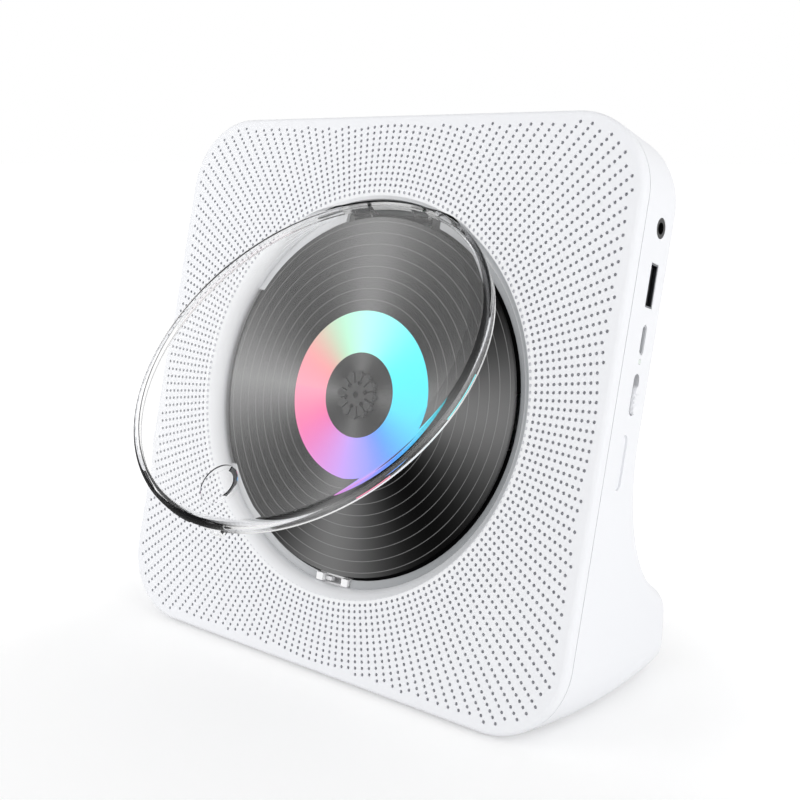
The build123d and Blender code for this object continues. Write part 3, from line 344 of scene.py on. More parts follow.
@dataclass(frozen=True)
class DiscFinish(Look):
    """Printed disc: black grooved band and dark middle, both with a painted sheen, and a ring
    between them of painted rainbow reflection that also glows.
    """

    name: str = "disc_black"
    middle: float = 14.3
    label: float = 28.4
    # spokes, spread and fall: the painted sheen's bright spokes, their width and their fall-off
    spokes: Tones = ((-180, 152), (-92, 130), (1, 134), (93, 140), (180, 152))
    spread: float = 17.0
    fall: Tones = ((-2, 0.05), (-1, 0.57), (0, 1.0), (1, 0.57), (2, 0.05))
    flat: Colour = (62, 62, 62)
    flatter: float = 0.5
    # glow: how strongly the rainbow ring glows, though it is no lamp
    glow: float = 0.16
    # painted rainbow reflection of the ring, by angle
    painted_rainbow: Sequence[Tuple[float, Colour]] = (
        (-180, (255, 165, 185)), (-145, (235, 85, 150)), (-100, (200, 160, 240)),
        (-70, (150, 155, 250)), (-45, (70, 140, 250)), (-10, (105, 235, 255)),
        (45, (50, 240, 250)), (95, (200, 255, 240)), (120, (165, 235, 195)),
        (150, (240, 140, 145)), (180, (255, 165, 185)))

    def painted_sheen(self, nodes: Nodes) -> NodeSocket:
        """The painted sheen of the black band: bright spokes of painted highlight that fall off
        to both sides.
        """
        tones = [(angle + step * self.spread, tone * part)
                 for angle, tone in self.spokes for step, part in self.fall]
        return nodes.greys(nodes.turn(), [(along(a), t) for a, t in tones if abs(a) <= 180])

    def dress(self, nodes: Nodes) -> None:
        """The colour follows the angle and the distance from the middle: painted sheen on the
        band, painted sheen softened with grey in the middle, and a glowing painted rainbow
        reflection in the ring between.
        """
        away = nodes.away()
        painted_sheen = self.painted_sheen(nodes)
        colours = nodes.ramp(nodes.turn(), [(along(a), c) for a, c in self.painted_rainbow])
        in_middle = nodes.math("LESS_THAN", away, self.middle * MM)
        in_rainbow = nodes.math(
            "SUBTRACT", nodes.math("LESS_THAN", away, self.label * MM), in_middle)
        black = nodes.mix(in_middle, painted_sheen, nodes.mix(self.flatter, painted_sheen, self.flat))
        colour = nodes.mix(in_rainbow, black, colours)
        nodes.put({
            "Base Color": colour, "Emission Color": colour,
            "Emission Strength": nodes.math("MULTIPLY", in_rainbow, self.glow),
            "Specular IOR Level": 0.0, "Roughness": 0.4})


@dataclass(frozen=True)
class GrooveFinish(Look):
    """The floor of a groove: the disc's painted sheen, lifted a step lighter."""

    name: str = "groove"
    disc: DiscFinish = DiscFinish()
    light: Colour = (196, 196, 196)
    lift: float = 0.25

    def dress(self, nodes: Nodes) -> None:
        """A step lighter than the disc beside it."""
        nodes.put({"Base Color": nodes.mix(self.lift, self.disc.painted_sheen(nodes), self.light),
                   "Specular IOR Level": 0.0})


@dataclass(frozen=True)
class DeckFinish(Look):
    """Black deck, which takes up the disc's painted sheen in the open gaps of the seat."""

    name: str = "deck_black"
    disc: DiscFinish = DiscFinish()
    black: Colour = (22, 22, 23)
    above: float = 56.5
    beside: float = -57.5

    def dress(self, nodes: Nodes) -> None:
        """Matte, and lighter above and left of the disc, where the painted sheen is laid on."""
        place = nodes.well_point()
        # gap: where the deck shows the painted sheen in place of black
        gap = nodes.math(
            "MAXIMUM", nodes.math("GREATER_THAN", place["Y"], self.above * MM),
            nodes.math("LESS_THAN", place["X"], self.beside * MM))
        nodes.put({"Base Color": nodes.mix(gap, self.black, self.disc.painted_sheen(nodes)),
                   "Specular IOR Level": 0.0, "Roughness": 0.6})
        nodes.grain(Surface.MATTE)


@dataclass(frozen=True)
class WellPaintedShade(Look):
    """Pale plastic round the well with painted shade, greyer on the side away from the light.

    The painted grey is the tone for the angle in shade times the tone for the distance in
    across.
    """

    pale: Colour
    grey: Colour
    shade: Tones
    across: Tones

    def dress(self, nodes: Nodes) -> None:
        """Satin; the painted shade follows the angle and the distance from the middle."""
        by_angle = nodes.greys(nodes.turn(), [(along(a), tone) for a, tone in self.shade])
        start, end = self.across[0][0], self.across[-1][0]
        reach = nodes.span(nodes.away(), (start * MM, end * MM))
        by_reach = nodes.greys(
            reach, [((r - start) / (end - start), tone) for r, tone in self.across])
        factor = nodes.math("MULTIPLY", by_angle, by_reach)
        nodes.put({"Base Color": nodes.mix(factor, self.pale, self.grey)})
        nodes.uneven(0.28, 0.4)
        nodes.grain(Surface.SATIN)


@dataclass(frozen=True)
class ClothFinish(Look):
    """Dark woven cloth behind the grille. A wave of scale 1 is wave metres long."""

    name: str = "cloth"
    colour: Colour = (38, 38, 40)
    pitch: float = 0.5
    wave: float = 0.314
    depth: float = 0.1
    # gap: how much of the colour stays in the dips of the weave, a painted shade
    gap: float = 0.5

    def dress(self, nodes: Nodes) -> None:
        """Two crossed waves stand for the threads; the dips between them are darker, a painted
        shade.
        """
        heights = [
            nodes.add("ShaderNodeTexWave", {"Scale": self.wave / (self.pitch * MM),
                                            "Vector": nodes.object_point()},
                      bands_direction=direction).outputs["Fac"] for direction in ("X", "Z")]
        weave = nodes.math("MAXIMUM", *heights)
        nodes.relief(weave, self.depth * MM)
        dark = tuple(c * self.gap for c in self.colour)
        nodes.put({"Base Color": nodes.mix(weave, dark, self.colour), "Roughness": 0.95})


@dataclass(frozen=True)
class BoardFinish(Look):
    """Printed board with a fine pattern of tracks."""

    name: str = "board_green"
    colour: Colour = (28, 96, 58)
    track: Colour = (44, 128, 80)
    scale: float = 260.0
    width: float = 0.06

    def dress(self, nodes: Nodes) -> None:
        """Satin green with lighter tracks."""
        green = rgba(self.colour)
        brick = nodes.add("ShaderNodeTexBrick", {
            "Scale": self.scale, "Mortar Size": self.width, "Color1": green, "Color2": green,
            "Mortar": rgba(self.track), "Vector": nodes.object_point()})
        nodes.put({"Base Color": brick.outputs["Color"]})
        nodes.uneven(0.3, 0.45, 80.0)


# ---- modelling tools ----


class Bench:
    """Operators on one object at a time."""

    @staticmethod
    def only(obj: Object) -> None:
        """Makes obj the only selected and active object."""
        if bpy.context.object and bpy.context.object.mode != "OBJECT":
            bpy.ops.object.mode_set(mode="OBJECT")
        bpy.ops.object.select_all(action="DESELECT")
        obj.select_set(True)
        bpy.context.view_layer.objects.active = obj

    @staticmethod
    @contextmanager
    def editing() -> Iterator[None]:
        """Edit mode for the active object, then object mode again."""
        bpy.ops.object.mode_set(mode="EDIT")
        yield
        bpy.ops.object.mode_set(mode="OBJECT")

    @staticmethod
    def named(name: str) -> Object:
        """Names the object just added, and its mesh."""
        obj = bpy.context.object
        obj.name = obj.data.name = name
        return obj

    @classmethod
    def cylinder(
        cls, name: str, radius: float, bottom: float, top: float, at: Point = (0.0, 0.0),
        sides: int = 64
    ) -> Object:
        """Adds a cylinder along z, all sizes in millimetres."""
        bpy.ops.mesh.primitive_cylinder_add(
            vertices=sides, radius=radius * MM, depth=(top - bottom) * MM,
            location=(at[0] * MM, at[1] * MM, (top + bottom) / 2 * MM))
        return cls.settle(cls.named(name))

    @classmethod
    def box(cls, name: str, low: Sequence[float], high: Sequence[float]) -> Object:
        """Adds a box between two corners in millimetres."""
        middle = [(a + b) / 2 * MM for a, b in zip(low, high)]
        bpy.ops.mesh.primitive_cube_add(size=1.0, location=middle)
        obj = cls.named(name)
        obj.scale = [(b - a) * MM for a, b in zip(low, high)]
        return cls.settle(obj)

    @classmethod
    def settle(cls, obj: Object) -> Object:
        """Works the object's place, turn and scale into its mesh."""
        cls.only(obj)
        bpy.ops.object.transform_apply(location=True, rotation=True, scale=True)
        return obj

    @classmethod
    def lean(cls, obj: Object, drop: float = WELL_DROP) -> Object:
        """Takes an object from face coordinates to the row frame."""
        obj.matrix_world = face_matrix(drop)
        return cls.settle(obj)

    @classmethod
    def pick(cls, obj: Object, test: FaceTest) -> None:
        """Selects the faces that pass a test.

        Args:
            obj: the object to look at.
            test: takes a polygon and says whether it is wanted.
        """
        cls.only(obj)
        with cls.editing():
            bpy.ops.mesh.select_mode(type="FACE")
            bpy.ops.mesh.select_all(action="DESELECT")
        faces = obj.data.polygons
        faces.foreach_set("select", [test(face) for face in faces])

    @classmethod
    def paint(cls, obj: Object, material: Material, test: FaceTest) -> None:
        """Gives the faces that pass a test a further material."""
        cls.pick(obj, test)
        obj.data.materials.append(material)
        obj.active_material_index = len(obj.data.materials) - 1
        with cls.editing():
            bpy.ops.object.material_slot_assign()

    @classmethod
    def modify(cls, obj: Object, kind: str, **settings: object) -> None:
        """Gives obj one modifier and works it into the mesh."""
        cls.only(obj)
        modifier = obj.modifiers.new("shape", kind)
        for key, value in settings.items():
            setattr(modifier, key, value)
        bpy.ops.object.modifier_apply(modifier=modifier.name)

    @classmethod
    def boolean(cls, obj: Object, tool: Object, operation: str = "DIFFERENCE") -> None:
        """Cuts obj with tool, or joins them, and removes the tool."""
        cls.modify(obj, "BOOLEAN", operation=operation, object=tool, solver="MANIFOLD",
                   material_mode="TRANSFER")
        bpy.data.objects.remove(tool)

    @classmethod
    def smooth(cls, obj: Object, degrees: float) -> None:
        """Smooth shading that stops at sharp edges."""
        cls.only(obj)
        bpy.ops.object.shade_smooth_by_angle(angle=math.radians(degrees))

    @classmethod
    def merged_copy(cls, node: Object, name: str) -> Object:
        """Copy of a CAD node with its doubled vertices merged, free of its body."""
        cls.only(node)
        copy = node.copy()
        copy.data = node.data.copy()
        copy.parent = None
        copy.name = copy.data.name = name
        for key in list(copy.keys()):
            del copy[key]
        bpy.context.scene.collection.objects.link(copy)
        cls.only(copy)
        if copy.data.has_custom_normals:
            bpy.ops.mesh.customdata_custom_splitnormals_clear()
        with cls.editing():
            bpy.ops.mesh.select_all(action="SELECT")
            bpy.ops.mesh.remove_doubles(threshold=MERGE * MM)
            bpy.ops.mesh.normals_make_consistent(inside=False)
        copy.data.materials.clear()
        return copy

    @classmethod
    def turned(
        cls, name: str, section: Sequence[Point], segments: int, closed: bool = True
    ) -> Object:
        """Solid turned about z from a section.

        Args:
            name: the object's name.
            section: corners as (radius, height) in millimetres.
            segments: steps round the circle.
            closed: the section closes on itself; otherwise both its ends lie on the axis.
        Returns:
            The closed solid, with its normals outwards.
        """
        bpy.ops.mesh.primitive_plane_add(size=0.001)
        obj = cls.named(name)
        after = [*section[1:], section[0]] if closed else section[1:]
        mesh = bpy.ops.mesh
        with cls.editing():
            mesh.select_mode(type="VERT")
            mesh.select_all(action="SELECT")
            mesh.merge(type="CENTER")
            bpy.ops.transform.translate(value=(section[0][0] * MM, 0, section[0][1] * MM))
            for (r0, z0), (r1, z1) in zip(section, after):
                mesh.extrude_region_move(
                    TRANSFORM_OT_translate={"value": ((r1 - r0) * MM, 0, (z1 - z0) * MM)})
            mesh.select_all(action="SELECT")
            mesh.remove_doubles(threshold=MERGE * MM / 10)
            mesh.select_all(action="SELECT")
            mesh.spin(
                steps=segments, angle=math.tau, center=(0, 0, 0), axis=(0, 0, 1), dupli=False)
            mesh.select_all(action="SELECT")
            mesh.remove_doubles(threshold=MERGE * MM / 10)
            mesh.normals_make_consistent(inside=False)
        return obj


# ---- front with its holes ----


@dataclass
class PerforatedFront:
    """Front shell with rings of small blind holes, first plus offset pitches from the middle.

    The well's rolled edge takes painted shade, greyest towards the right, with a lighter painted
    highlight line at the lip and a crisp end to the grey, between the limits of roll_reach and
    roll_height.
    """

    node: Object
    # the holes' walls a little darker than the shell: painted shade in the holes
    dark: Finish = Finish("grille_hole_shade", (214, 215, 219), 0.8, specular=0.1)
    # painted shade on the rolled edge by angle, and across it a lighter line at the lip as a
    # painted highlight
    roll: WellPaintedShade = WellPaintedShade(
        "roll_painted_shade", (242, 243, 245), (126, 129, 133),
        ((-180, 0), (-130, 30), (-90, 95), (-50, 185), (-5, 235), (35, 245), (70, 210),
         (100, 90), (130, 30), (180, 0)),
        ((63.8, 60), (64.4, 130), (65.0, 180), (65.8, 235), (66.6, 255), (67.0, 255),
         (67.2, 60), (67.4, 0), (69.2, 0)))
    roll_reach: Point = (63.9, 69.25)
    roll_height: Point = (-6.0, -0.005)
    rays: int = 200
    sides: int = 8
    pitch: float = 1.98
    first: int = 35
    rings: int = 29
    offset: float = -0.882
    radius: float = 0.56
    depth: float = 0.95
    shallow: float = 0.55
    reach: float = 89.5
    corner: float = 22.0
    level: float = 0.01

    def cutters(self) -> Object:
        """Rings of eight-sided pegs, trimmed to the rounded square.

        Returns:
            One object that holds every peg, in face coordinates.
        """
        start = (self.first + self.offset) * self.pitch
        pegs = Bench.cylinder("pegs", self.radius, -self.depth, 1.0, (start, 0.0), self.sides)
        Bench.modify(
            pegs, "ARRAY", use_relative_offset=False, use_constant_offset=True,
            constant_offset_displace=(self.pitch * MM, 0.0, 0.0), count=self.rings)
        bpy.ops.object.empty_add(rotation=(0.0, 0.0, math.tau / self.rays))
        turner = bpy.context.object
        Bench.modify(pegs, "ARRAY", use_relative_offset=False, use_object_offset=True,
                     offset_object=turner, count=self.rays)
        bpy.data.objects.remove(turner)
        self.trim(pegs)
        return pegs

    def trim(self, pegs: Object) -> None:
        """Deletes the pegs outside the rounded square and shortens the innermost ring."""
        per_peg = 2 * self.sides
        vertices = pegs.data.vertices
        doomed = []
        half_way = -self.depth * MM * 0.5
        inner = (self.first + 0.5 + self.offset) * self.pitch * MM
        for start in range(0, len(vertices), per_peg):
            group = vertices[start:start + per_peg]
            middle = sum((v.co for v in group), Vector()) / per_peg
            corner = [max(0.0, abs(c) / MM - self.reach + self.corner) for c in middle.xy]
            doomed.append(math.hypot(*corner) > self.corner)
            if middle.xy.length < inner:
                for vertex in group:
                    if vertex.co.z < half_way:
                        vertex.co.z = -self.shallow * MM
        LOG.info("holes: %d", doomed.count(False))
        Bench.pick(pegs, lambda face: doomed[face.vertices[0] // per_peg])
        with Bench.editing():
            bpy.ops.mesh.delete(type="VERT")

    def build(self) -> Object:
        """Makes the shell.

        Returns:
            The perforated shell, in place of the plain one.
        """
        shell = Bench.merged_copy(self.node, "perforated_front")
        shell.data.materials.append(WHITE_SHELL.build())
        pegs = Bench.lean(self.cutters(), 0.0)
        pegs.data.materials.append(self.dark.build())
        Bench.boolean(shell, pegs)
        out = face_matrix().to_3x3() @ Vector((0, 0, 1))
        into = face_matrix().inverted()
        well = face_matrix(WELL_DROP).inverted()

        def on_roll(face: MeshPolygon) -> bool:
            place = well @ face.center / MM
            return (face.material_index == 0
                    and self.roll_reach[0] < place.xy.length < self.roll_reach[1]
                    and self.roll_height[0] < place.z < self.roll_height[1])

        def on_face(face: MeshPolygon) -> bool:
            return (face.normal.dot(out) > SAME_WAY
                    and abs((into @ face.center).z) < self.level * MM)

        # the rolled edge of the well takes painted shade
        Bench.paint(shell, self.roll.build(), on_roll)
        Bench.smooth(shell, degrees=30)
        Bench.pick(shell, on_face)
        with Bench.editing():
            bpy.ops.mesh.region_to_loop()
            bpy.ops.mesh.mark_sharp()
        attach(shell, "base")
        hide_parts("front_shell")
        return shell


# ---- disc ----


@dataclass
class PrintedDisc:
    """Disc with light grooves cut in its black band."""

    radius: float = 60.0
    hole: float = 7.5
    top: float = -4.5
    thick: float = 1.2
    edge: float = 0.2
    groove_first: float = 58.4
    groove_pitch: float = 3.75
    grooves: int = 8
    groove_wide: float = 0.28
    groove_deep: float = 0.06
    shallowest: float = 0.004
    loose: float = 1.2
    finish: DiscFinish = DiscFinish()
    light: GrooveFinish = GrooveFinish()

    def section(self) -> List[Point]:
        """Corners of the disc's section as (radius, height) in millimetres."""
        low, shoulder = self.top - self.thick, self.radius - self.edge
        corners = [(self.hole, low), (shoulder, low), (self.radius, low + self.edge),
                   (self.radius, self.top - self.edge), (shoulder, self.top)]
        for count in range(self.grooves):
            middle = self.groove_first - count * self.groove_pitch
            half, floor = self.groove_wide / 2, self.top - self.groove_deep
            corners += [(middle + half, self.top), (middle + half / 2, floor),
                        (middle - half / 2, floor), (middle - half, self.top)]
        return corners + [(self.finish.label, self.top), (self.finish.middle, self.top),
                          (self.hole, self.top)]

    def in_groove(self, face: MeshPolygon) -> bool:
        """Whether a face of the disc, before it leans, belongs to a groove."""
        deep, reach = self.top - face.center.z / MM, face.center.xy.length / MM
        return (self.shallowest < deep < self.groove_deep * self.loose
                and self.hole * self.loose < reach < self.radius - self.loose)

    def build(self) -> Object:
        """Makes the disc.

        Returns:
            The disc, which spins with the hub.
        """
        disc = Bench.turned("printed_disc", self.section(), segments=192)
        disc.data.materials.append(self.finish.build())
        Bench.paint(disc, self.light.build(), self.in_groove)
        Bench.smooth(disc, degrees=20)
        Bench.lean(disc)
        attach(disc, "spindle")
        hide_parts("compact_disc")
        return disc


@dataclass
class HubRosette:
    """Hub with spring fingers, a pit in the middle and smaller ones round it; the pits are
    darker, a painted shade.
    """

    node: Object
    finish: Finish = Finish("hub_black", (66, 66, 66), 0.5, specular=0.3)
    # darker faces of the pits: painted shade in the recesses
    pit: Finish = Finish("hub_pit_painted_shade", (30, 30, 30), 0.7, specular=0.1)
    pits: int = 6
    ring: float = 4.1
    first: float = 0.3
    radius: float = 0.85
    middle_radius: float = 1.1
    top: float = -3.0
    deep: float = 0.5

    def build(self) -> Object:
        """Makes the hub.

        Returns:
            The hub, in place of the plain one.
        """
        hub = Bench.merged_copy(self.node, "hub_rosette")
        hub.data.materials.append(self.finish.build())
        turns = [math.tau * i / self.pits + self.first for i in range(self.pits)]
        places = [(0.0, 0.0, self.middle_radius)] + [
            (self.ring * math.cos(a), self.ring * math.sin(a), self.radius) for a in turns]
        dark = self.pit.build()
        for u, w, radius in places:
            peg = Bench.cylinder("peg", radius, self.top - self.deep, self.top + 1, (u, w), 20)
            peg.data.materials.append(dark)
            Bench.boolean(hub, Bench.lean(peg))
        Bench.smooth(hub, degrees=25)
        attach(hub, "spindle")
        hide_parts("turntable_hub")
        return hub


# ---- cover ----


@dataclass(frozen=True)
class Streak:
    """A streak of painted dark reflection or painted highlight round the cover, strongest at one
    angle, all in degrees.
    """

    middle: float
    reach: float
    strength: float

    def at(self, angle: float) -> float:
        """How strong the streak is at an angle, at most 1."""
        off = abs((angle - self.middle + 180) % 360 - 180) / self.reach
        return min(1.0, self.strength * max(0.0, 1.0 - off * off) ** 1.5)


@dataclass
class ClearCover:
    """The clear cover: a turned shell with a hook, knuckles and a finger dimple, its faces
    marked for painted dark reflection and painted highlight.

    Heights in relief, hook, notch and back are measured from the rim. Grip is measured from
    the top of the dimple, and says which piece of its ring is cut as a crescent.
    """

    node: Object
    finish: ClearFinish = ClearFinish()
    radius: float = 63.3
    thick: float = 2.0
    rim: float = -6.0
    skirt: float = 2.24
    shoulder: float = 2.5
    inner_bend: float = 1.0
    edge: float = 0.25
    crown: float = 0.9
    segments: int = 256
    opening: float = math.radians(30.2)
    hinge: Point = (60.7, -9.3)
    knuckle: float = 2.2
    pin: float = 1.06
    bore: Point = (-18.0, 18.0)
    arms: Sequence[Point] = ((-16.0, -9.0), (9.0, 16.0))
    arm_reach: Point = (58.6, 66.0)
    arm_top: float = 1.5
    arm_out: float = 0.05
    arm_in: float = 61.02
    dimple: Corner = (50.5, 6.4, 0.45)
    dimple_crown: float = 0.36
    crescent: float = 1.7
    grip: Box = ((0.5, -3.2, -3.0), (9.0, 9.0, 5.0))
    relief: Box = ((-7.4, -64.3, -1.0), (7.4, -58.3, 1.3))
    hook: Box = ((-1.2, -63.0, -4.4), (3.8, -61.5, 2.24))
    notch: Box = ((-2.2, -64.0, -3.0), (0.4, -60.0, -0.6))
    back: Box = ((-19.0, 40.0, -2.0), (21.2, 80.0, 12.0))
    back_cut: float = 1.7
    wall: Point = (1.3, 0.9)
    lip: Point = (0.3, 0.2)
    bend_slope: Point = (0.45, 0.97)
    dome_slope: Point = (0.97, 0.9999)
    glint_slope: float = 0.75
    under_part: float = 0.9375
    rim_slack: float = 0.1
    bend_slack: float = 0.3
    floor_slack: float = 0.02
    # streaks of painted dark reflection, and one of painted highlight at the bend
    wall_painted_dark: Streak = Streak(-106, 32, 1.7)
    shoulder_painted_dark: Streak = Streak(-140, 60, 1.3)
    lip_painted_dark: Streak = Streak(152, 55, 1.5)
    bend_painted_dark: Streak = Streak(22, 52, 0.8)
    dome_painted_dark: Streak = Streak(150, 60, 0.5)
    under_painted_dark: Streak = Streak(20, 42, 0.3)
    bend_painted_glint: Streak = Streak(88, 32, 0.75)
    crescent_painted_dark: float = 0.75

    @property
    def dimple_top(self) -> float:
        """Height of the dome at the dimple."""
        return self.rim + self.skirt + self.shoulder + self.crown * self.dimple_crown

    def arc(
        self, middle: Point, radius: float, start: float, end: float, steps: int
    ) -> List[Point]:
        """Points along an arc, angles in degrees."""
        turns = [math.radians(start + (end - start) * i / steps) for i in range(steps + 1)]
        return [(middle[0] + radius * math.cos(t), middle[1] + radius * math.sin(t))
                for t in turns]

    def dome(self, reach: float, top: float, steps: int = 16) -> List[Point]:
        """Points over the domed middle, from its edge to the axis."""
        return [(reach * (1 - i / steps), top + self.crown * (1 - (1 - i / steps) ** 2))
                for i in range(1, steps + 1)]

    def section(self) -> List[Point]:
        """Half section of the closed cover, from the inside of the rim round to the axis."""
        knee = self.radius - self.shoulder
        skirt = self.rim + self.skirt
        top = skirt + self.shoulder
        inner = self.radius - self.thick
        bend = self.inner_bend
        under = top - self.thick
        outside = [(self.radius - self.edge, self.rim), (self.radius, self.rim + self.edge)]
        outside += self.arc((knee, skirt), self.shoulder, 0, 90, 14) + self.dome(knee, top)
        inside = [(inner + self.edge, self.rim), (inner, self.rim + self.edge)]
        inside += self.arc((inner - bend, under - bend), bend, 0, 90, 8)
        inside += self.dome(inner - bend, under)
        return inside[::-1] + outside

    def rim_box(self, name: str, low: Corner, high: Corner) -> Object:
        """Adds a box whose heights are measured from the rim."""
        return Bench.box(name, (*low[:2], self.rim + low[2]), (*high[:2], self.rim + high[2]))

    def barrel(self, name: str, radius: float, bottom: float, top: float) -> Object:
        """Adds a cylinder round the cover's axis with as many sides as the cover."""
        return Bench.cylinder(name, radius, bottom, top, sides=self.segments)

    def press_dimple(self, cover: Object) -> None:
        """Sinks the finger dimple, and the crescent in its floor."""
        away, radius, deep = self.dimple
        top, at = self.dimple_top, (0.0, -away)
        Bench.boolean(cover, Bench.cylinder("pit", radius, top - deep, top + 3, at, 96))
        groove = Bench.cylinder("groove", radius - 0.1, top - deep * 2, top + 2, at, 96)
        core = Bench.cylinder("core", radius - self.crescent, top - deep * 3, top + 4, at, 96)
        Bench.boolean(groove, core)
        corners = ((x, y - away, z + top) for x, y, z in self.grip)
        Bench.boolean(groove, Bench.box("part", *corners), "INTERSECT")
        Bench.boolean(cover, groove)

    def build(self) -> Object:
        """Makes the cover.

        Returns:
            The cover, in place of the plain one.
        """
        cover = Bench.turned("clear_cover", self.section(), self.segments, closed=False)
        self.press_dimple(cover)
        self.ease_back(cover)
        Bench.boolean(cover, self.rim_box("relief", *self.relief))
        hook = self.rim_box("hook", *self.hook)
        Bench.boolean(hook, self.rim_box("notch", *self.notch))
        Bench.boolean(cover, hook, "UNION")
        for left, right in self.arms:
            self.add_arm(cover, left, right)
        Bench.boolean(cover, self.rod("bore", self.pin, *self.bore))
        cover.data.materials.clear()
        cover.data.materials.append(self.finish.build())
        self.shade(cover)
        self.open(cover)
        Bench.smooth(cover, degrees=28)
        Bench.lean(cover)
        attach(cover, "cover")
        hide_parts("dust_cover")
        return cover

    def ease_back(self, cover: Object) -> None:
        """Takes a little off the back of the cover, so that it clears the slot as it opens."""
        ring = self.barrel("ring", self.radius + 4, self.rim - 0.5, 4.0)
        core = self.barrel("core", self.radius - self.back_cut, self.rim - 1, 5.0)
        Bench.boolean(ring, core)
        Bench.boolean(ring, self.rim_box("span", *self.back), "INTERSECT")
        Bench.boolean(cover, ring)

    def tones(self, face: MeshPolygon) -> Point:
        """How much painted dark reflection and painted highlight one face of the closed cover
        takes.
        """
        away, radius, deep = self.dimple
        x, y, z = (c / MM for c in face.center)
        reach, angle = math.hypot(x, y), math.degrees(math.atan2(y, x))
        up, inner = face.normal.z, self.radius - self.thick
        floor = self.dimple_top - deep * 2
        if math.hypot(x, y + away) < radius and abs(z - floor) < self.floor_slack:
            return self.crescent_painted_dark, 0.0
        if z < self.rim - self.rim_slack or reach <= inner - self.inner_bend - self.bend_slack:
            under = up < 0 and reach > (inner - self.inner_bend) * self.under_part
            return self.under_painted_dark.at(angle) if under else 0.0, 0.0
        wall = reach > self.radius - self.wall[0]
        over = z > self.rim + self.skirt
        streaks = (
            (wall and z > self.rim + self.wall[1], self.wall_painted_dark),
            (wall and over, self.shoulder_painted_dark),
            (z < self.rim + self.lip[1] and reach < inner + self.lip[0], self.lip_painted_dark),
            (over and self.bend_slope[0] < up < self.bend_slope[1], self.bend_painted_dark),
            (over and self.dome_slope[0] < up < self.dome_slope[1], self.dome_painted_dark))
        glinting = over and up < self.glint_slope and reach > inner
        return (max((streak.at(angle) for here, streak in streaks if here), default=0.0),
                self.bend_painted_glint.at(angle) if glinting else 0.0)

    def shade(self, cover: Object) -> None:
        """Writes how much painted dark reflection and painted highlight each face takes."""
        tones = [self.tones(face) for face in cover.data.polygons]
        for name, values in zip(("painted_dark", "painted_glint"), zip(*tones)):
            layer = cover.data.attributes.new(name, "FLOAT", "FACE")
            layer.data.foreach_set("value", values)

    def rod(self, name: str, radius: float, left: float, right: float) -> Object:
        """Cylinder along the hinge axis."""
        rod = Bench.cylinder(name, radius, left, right, sides=40)
        rod.rotation_euler = (0.0, math.pi / 2, 0.0)
        rod.location = (0.0, self.hinge[0] * MM, self.hinge[1] * MM)
        return Bench.settle(rod)

    def add_arm(self, cover: Object, left: float, right: float) -> None:
        """Joins one knuckle and its arm to the cover."""
        arm = Bench.box("arm", (left, self.arm_reach[0], self.hinge[1]),
                        (right, self.arm_reach[1], self.rim + self.arm_top))
        within = self.barrel("within", self.radius - self.arm_out, -20.0, 10.0)
        Bench.boolean(arm, within, "INTERSECT")
        Bench.boolean(arm, self.barrel("clear", self.arm_in, -20.0, 10.0))
        Bench.boolean(arm, self.rod("knuckle", self.knuckle, left, right), "UNION")
        Bench.boolean(cover, arm, "UNION")

    def open(self, cover: Object) -> None:
        """Swings the finished cover open about its hinge."""
        pivot = Matrix.Translation((0.0, self.hinge[0] * MM, self.hinge[1] * MM))
        turn = Matrix.Rotation(-self.opening, 4, "X")
        cover.matrix_world = pivot @ turn @ pivot.inverted()
        Bench.settle(cover)


# ---- finishes of the CAD nodes ----


@dataclass
class NodeFinishes:
    """Finishes of the CAD nodes whose shapes are kept, with the nodes' names after each."""

    nodes: Mapping[str, Object]
    groups: Sequence[Tuple[Look, str]] = (
        (WHITE_SHELL, "rear_shell"),
        # the seat's own light grey, with painted shade that makes it greyer towards the lower
        # right
        (WellPaintedShade("seat_grey", (226, 227, 229), (130, 134, 137),
                    ((-180, 20), (-130, 90), (-95, 190), (-40, 235), (10, 235), (60, 190),
                     (110, 60), (180, 20)), ((60.0, 255), (63.0, 255), (66.0, 255))),
         "well_ring"),
        (DeckFinish(), "disc_deck"),
        (Finish("white_control", (236, 237, 240), 0.3),
         "power_knob button_previous button_play button_next button_volume_down "
         "button_volume_up"),
        (Finish("catch_white", (250, 250, 251), 0.3), "catch_guide cover_catch"),
        (Finish("pin_black", (16, 16, 17), 0.4), "hinge_pin"),
        (Finish("steel", (190, 191, 194), 0.28, 1.0),
         "spindle_shaft spindle_motor guide_rods sled_motor speaker_left speaker_right"),
        (Finish("zinc", (196, 198, 202), 0.38, 1.0), "case_screws deck_screws chassis_screws"),
        (Finish("drive_black", (34, 34, 36), 0.55, surface=Surface.MATTE),
         "mechanism_chassis pickup_carriage"),
        (Finish("gear_white", (228, 226, 214), 0.42), "sled_gear sled_pinion"),
        (Finish("rubber", (40, 40, 41), 0.85, specular=0.2, surface=Surface.MATTE),
         "rubber_feet chassis_dampers"),
        (Finish("lens_glass", (150, 170, 205), 0.08, coat=0.8, surface=Surface.POLISHED,
                wander=0.02), "pickup_lens"),
        (ClothFinish(), "grille_cloth"),
        (Finish("cone_paper", (52, 52, 54), 0.9, specular=0.1, surface=Surface.MATTE),
         "speaker_cones"),
        (BoardFinish(), "main_board side_board button_board"),
        (Finish("chip_black", (36, 36, 38), 0.5), "board_parts button_switches"),
        (Finish("socket_black", (14, 14, 15), 0.4), "audio_socket power_switch battery_holder"),
        (Finish("socket_steel", (120, 122, 126), 0.3, 1.0), "data_socket"),
        (Finish("charge_pale", (206, 208, 211), 0.4), "charge_socket"),
        (Finish("light_lens", (214, 222, 216), 0.15, surface=Surface.POLISHED), "status_light"),
        (Finish("cell_blue", (52, 118, 176), 0.35, coat=0.4), "battery_cells"),
    )

    def build(self) -> None:
        """Assigns every finish."""
        for finish, names in self.groups:
            material = finish.build()
            for name in names.split():
                self.nodes[name].data.materials.clear()
                self.nodes[name].data.materials.append(material)


# ---- studio ----


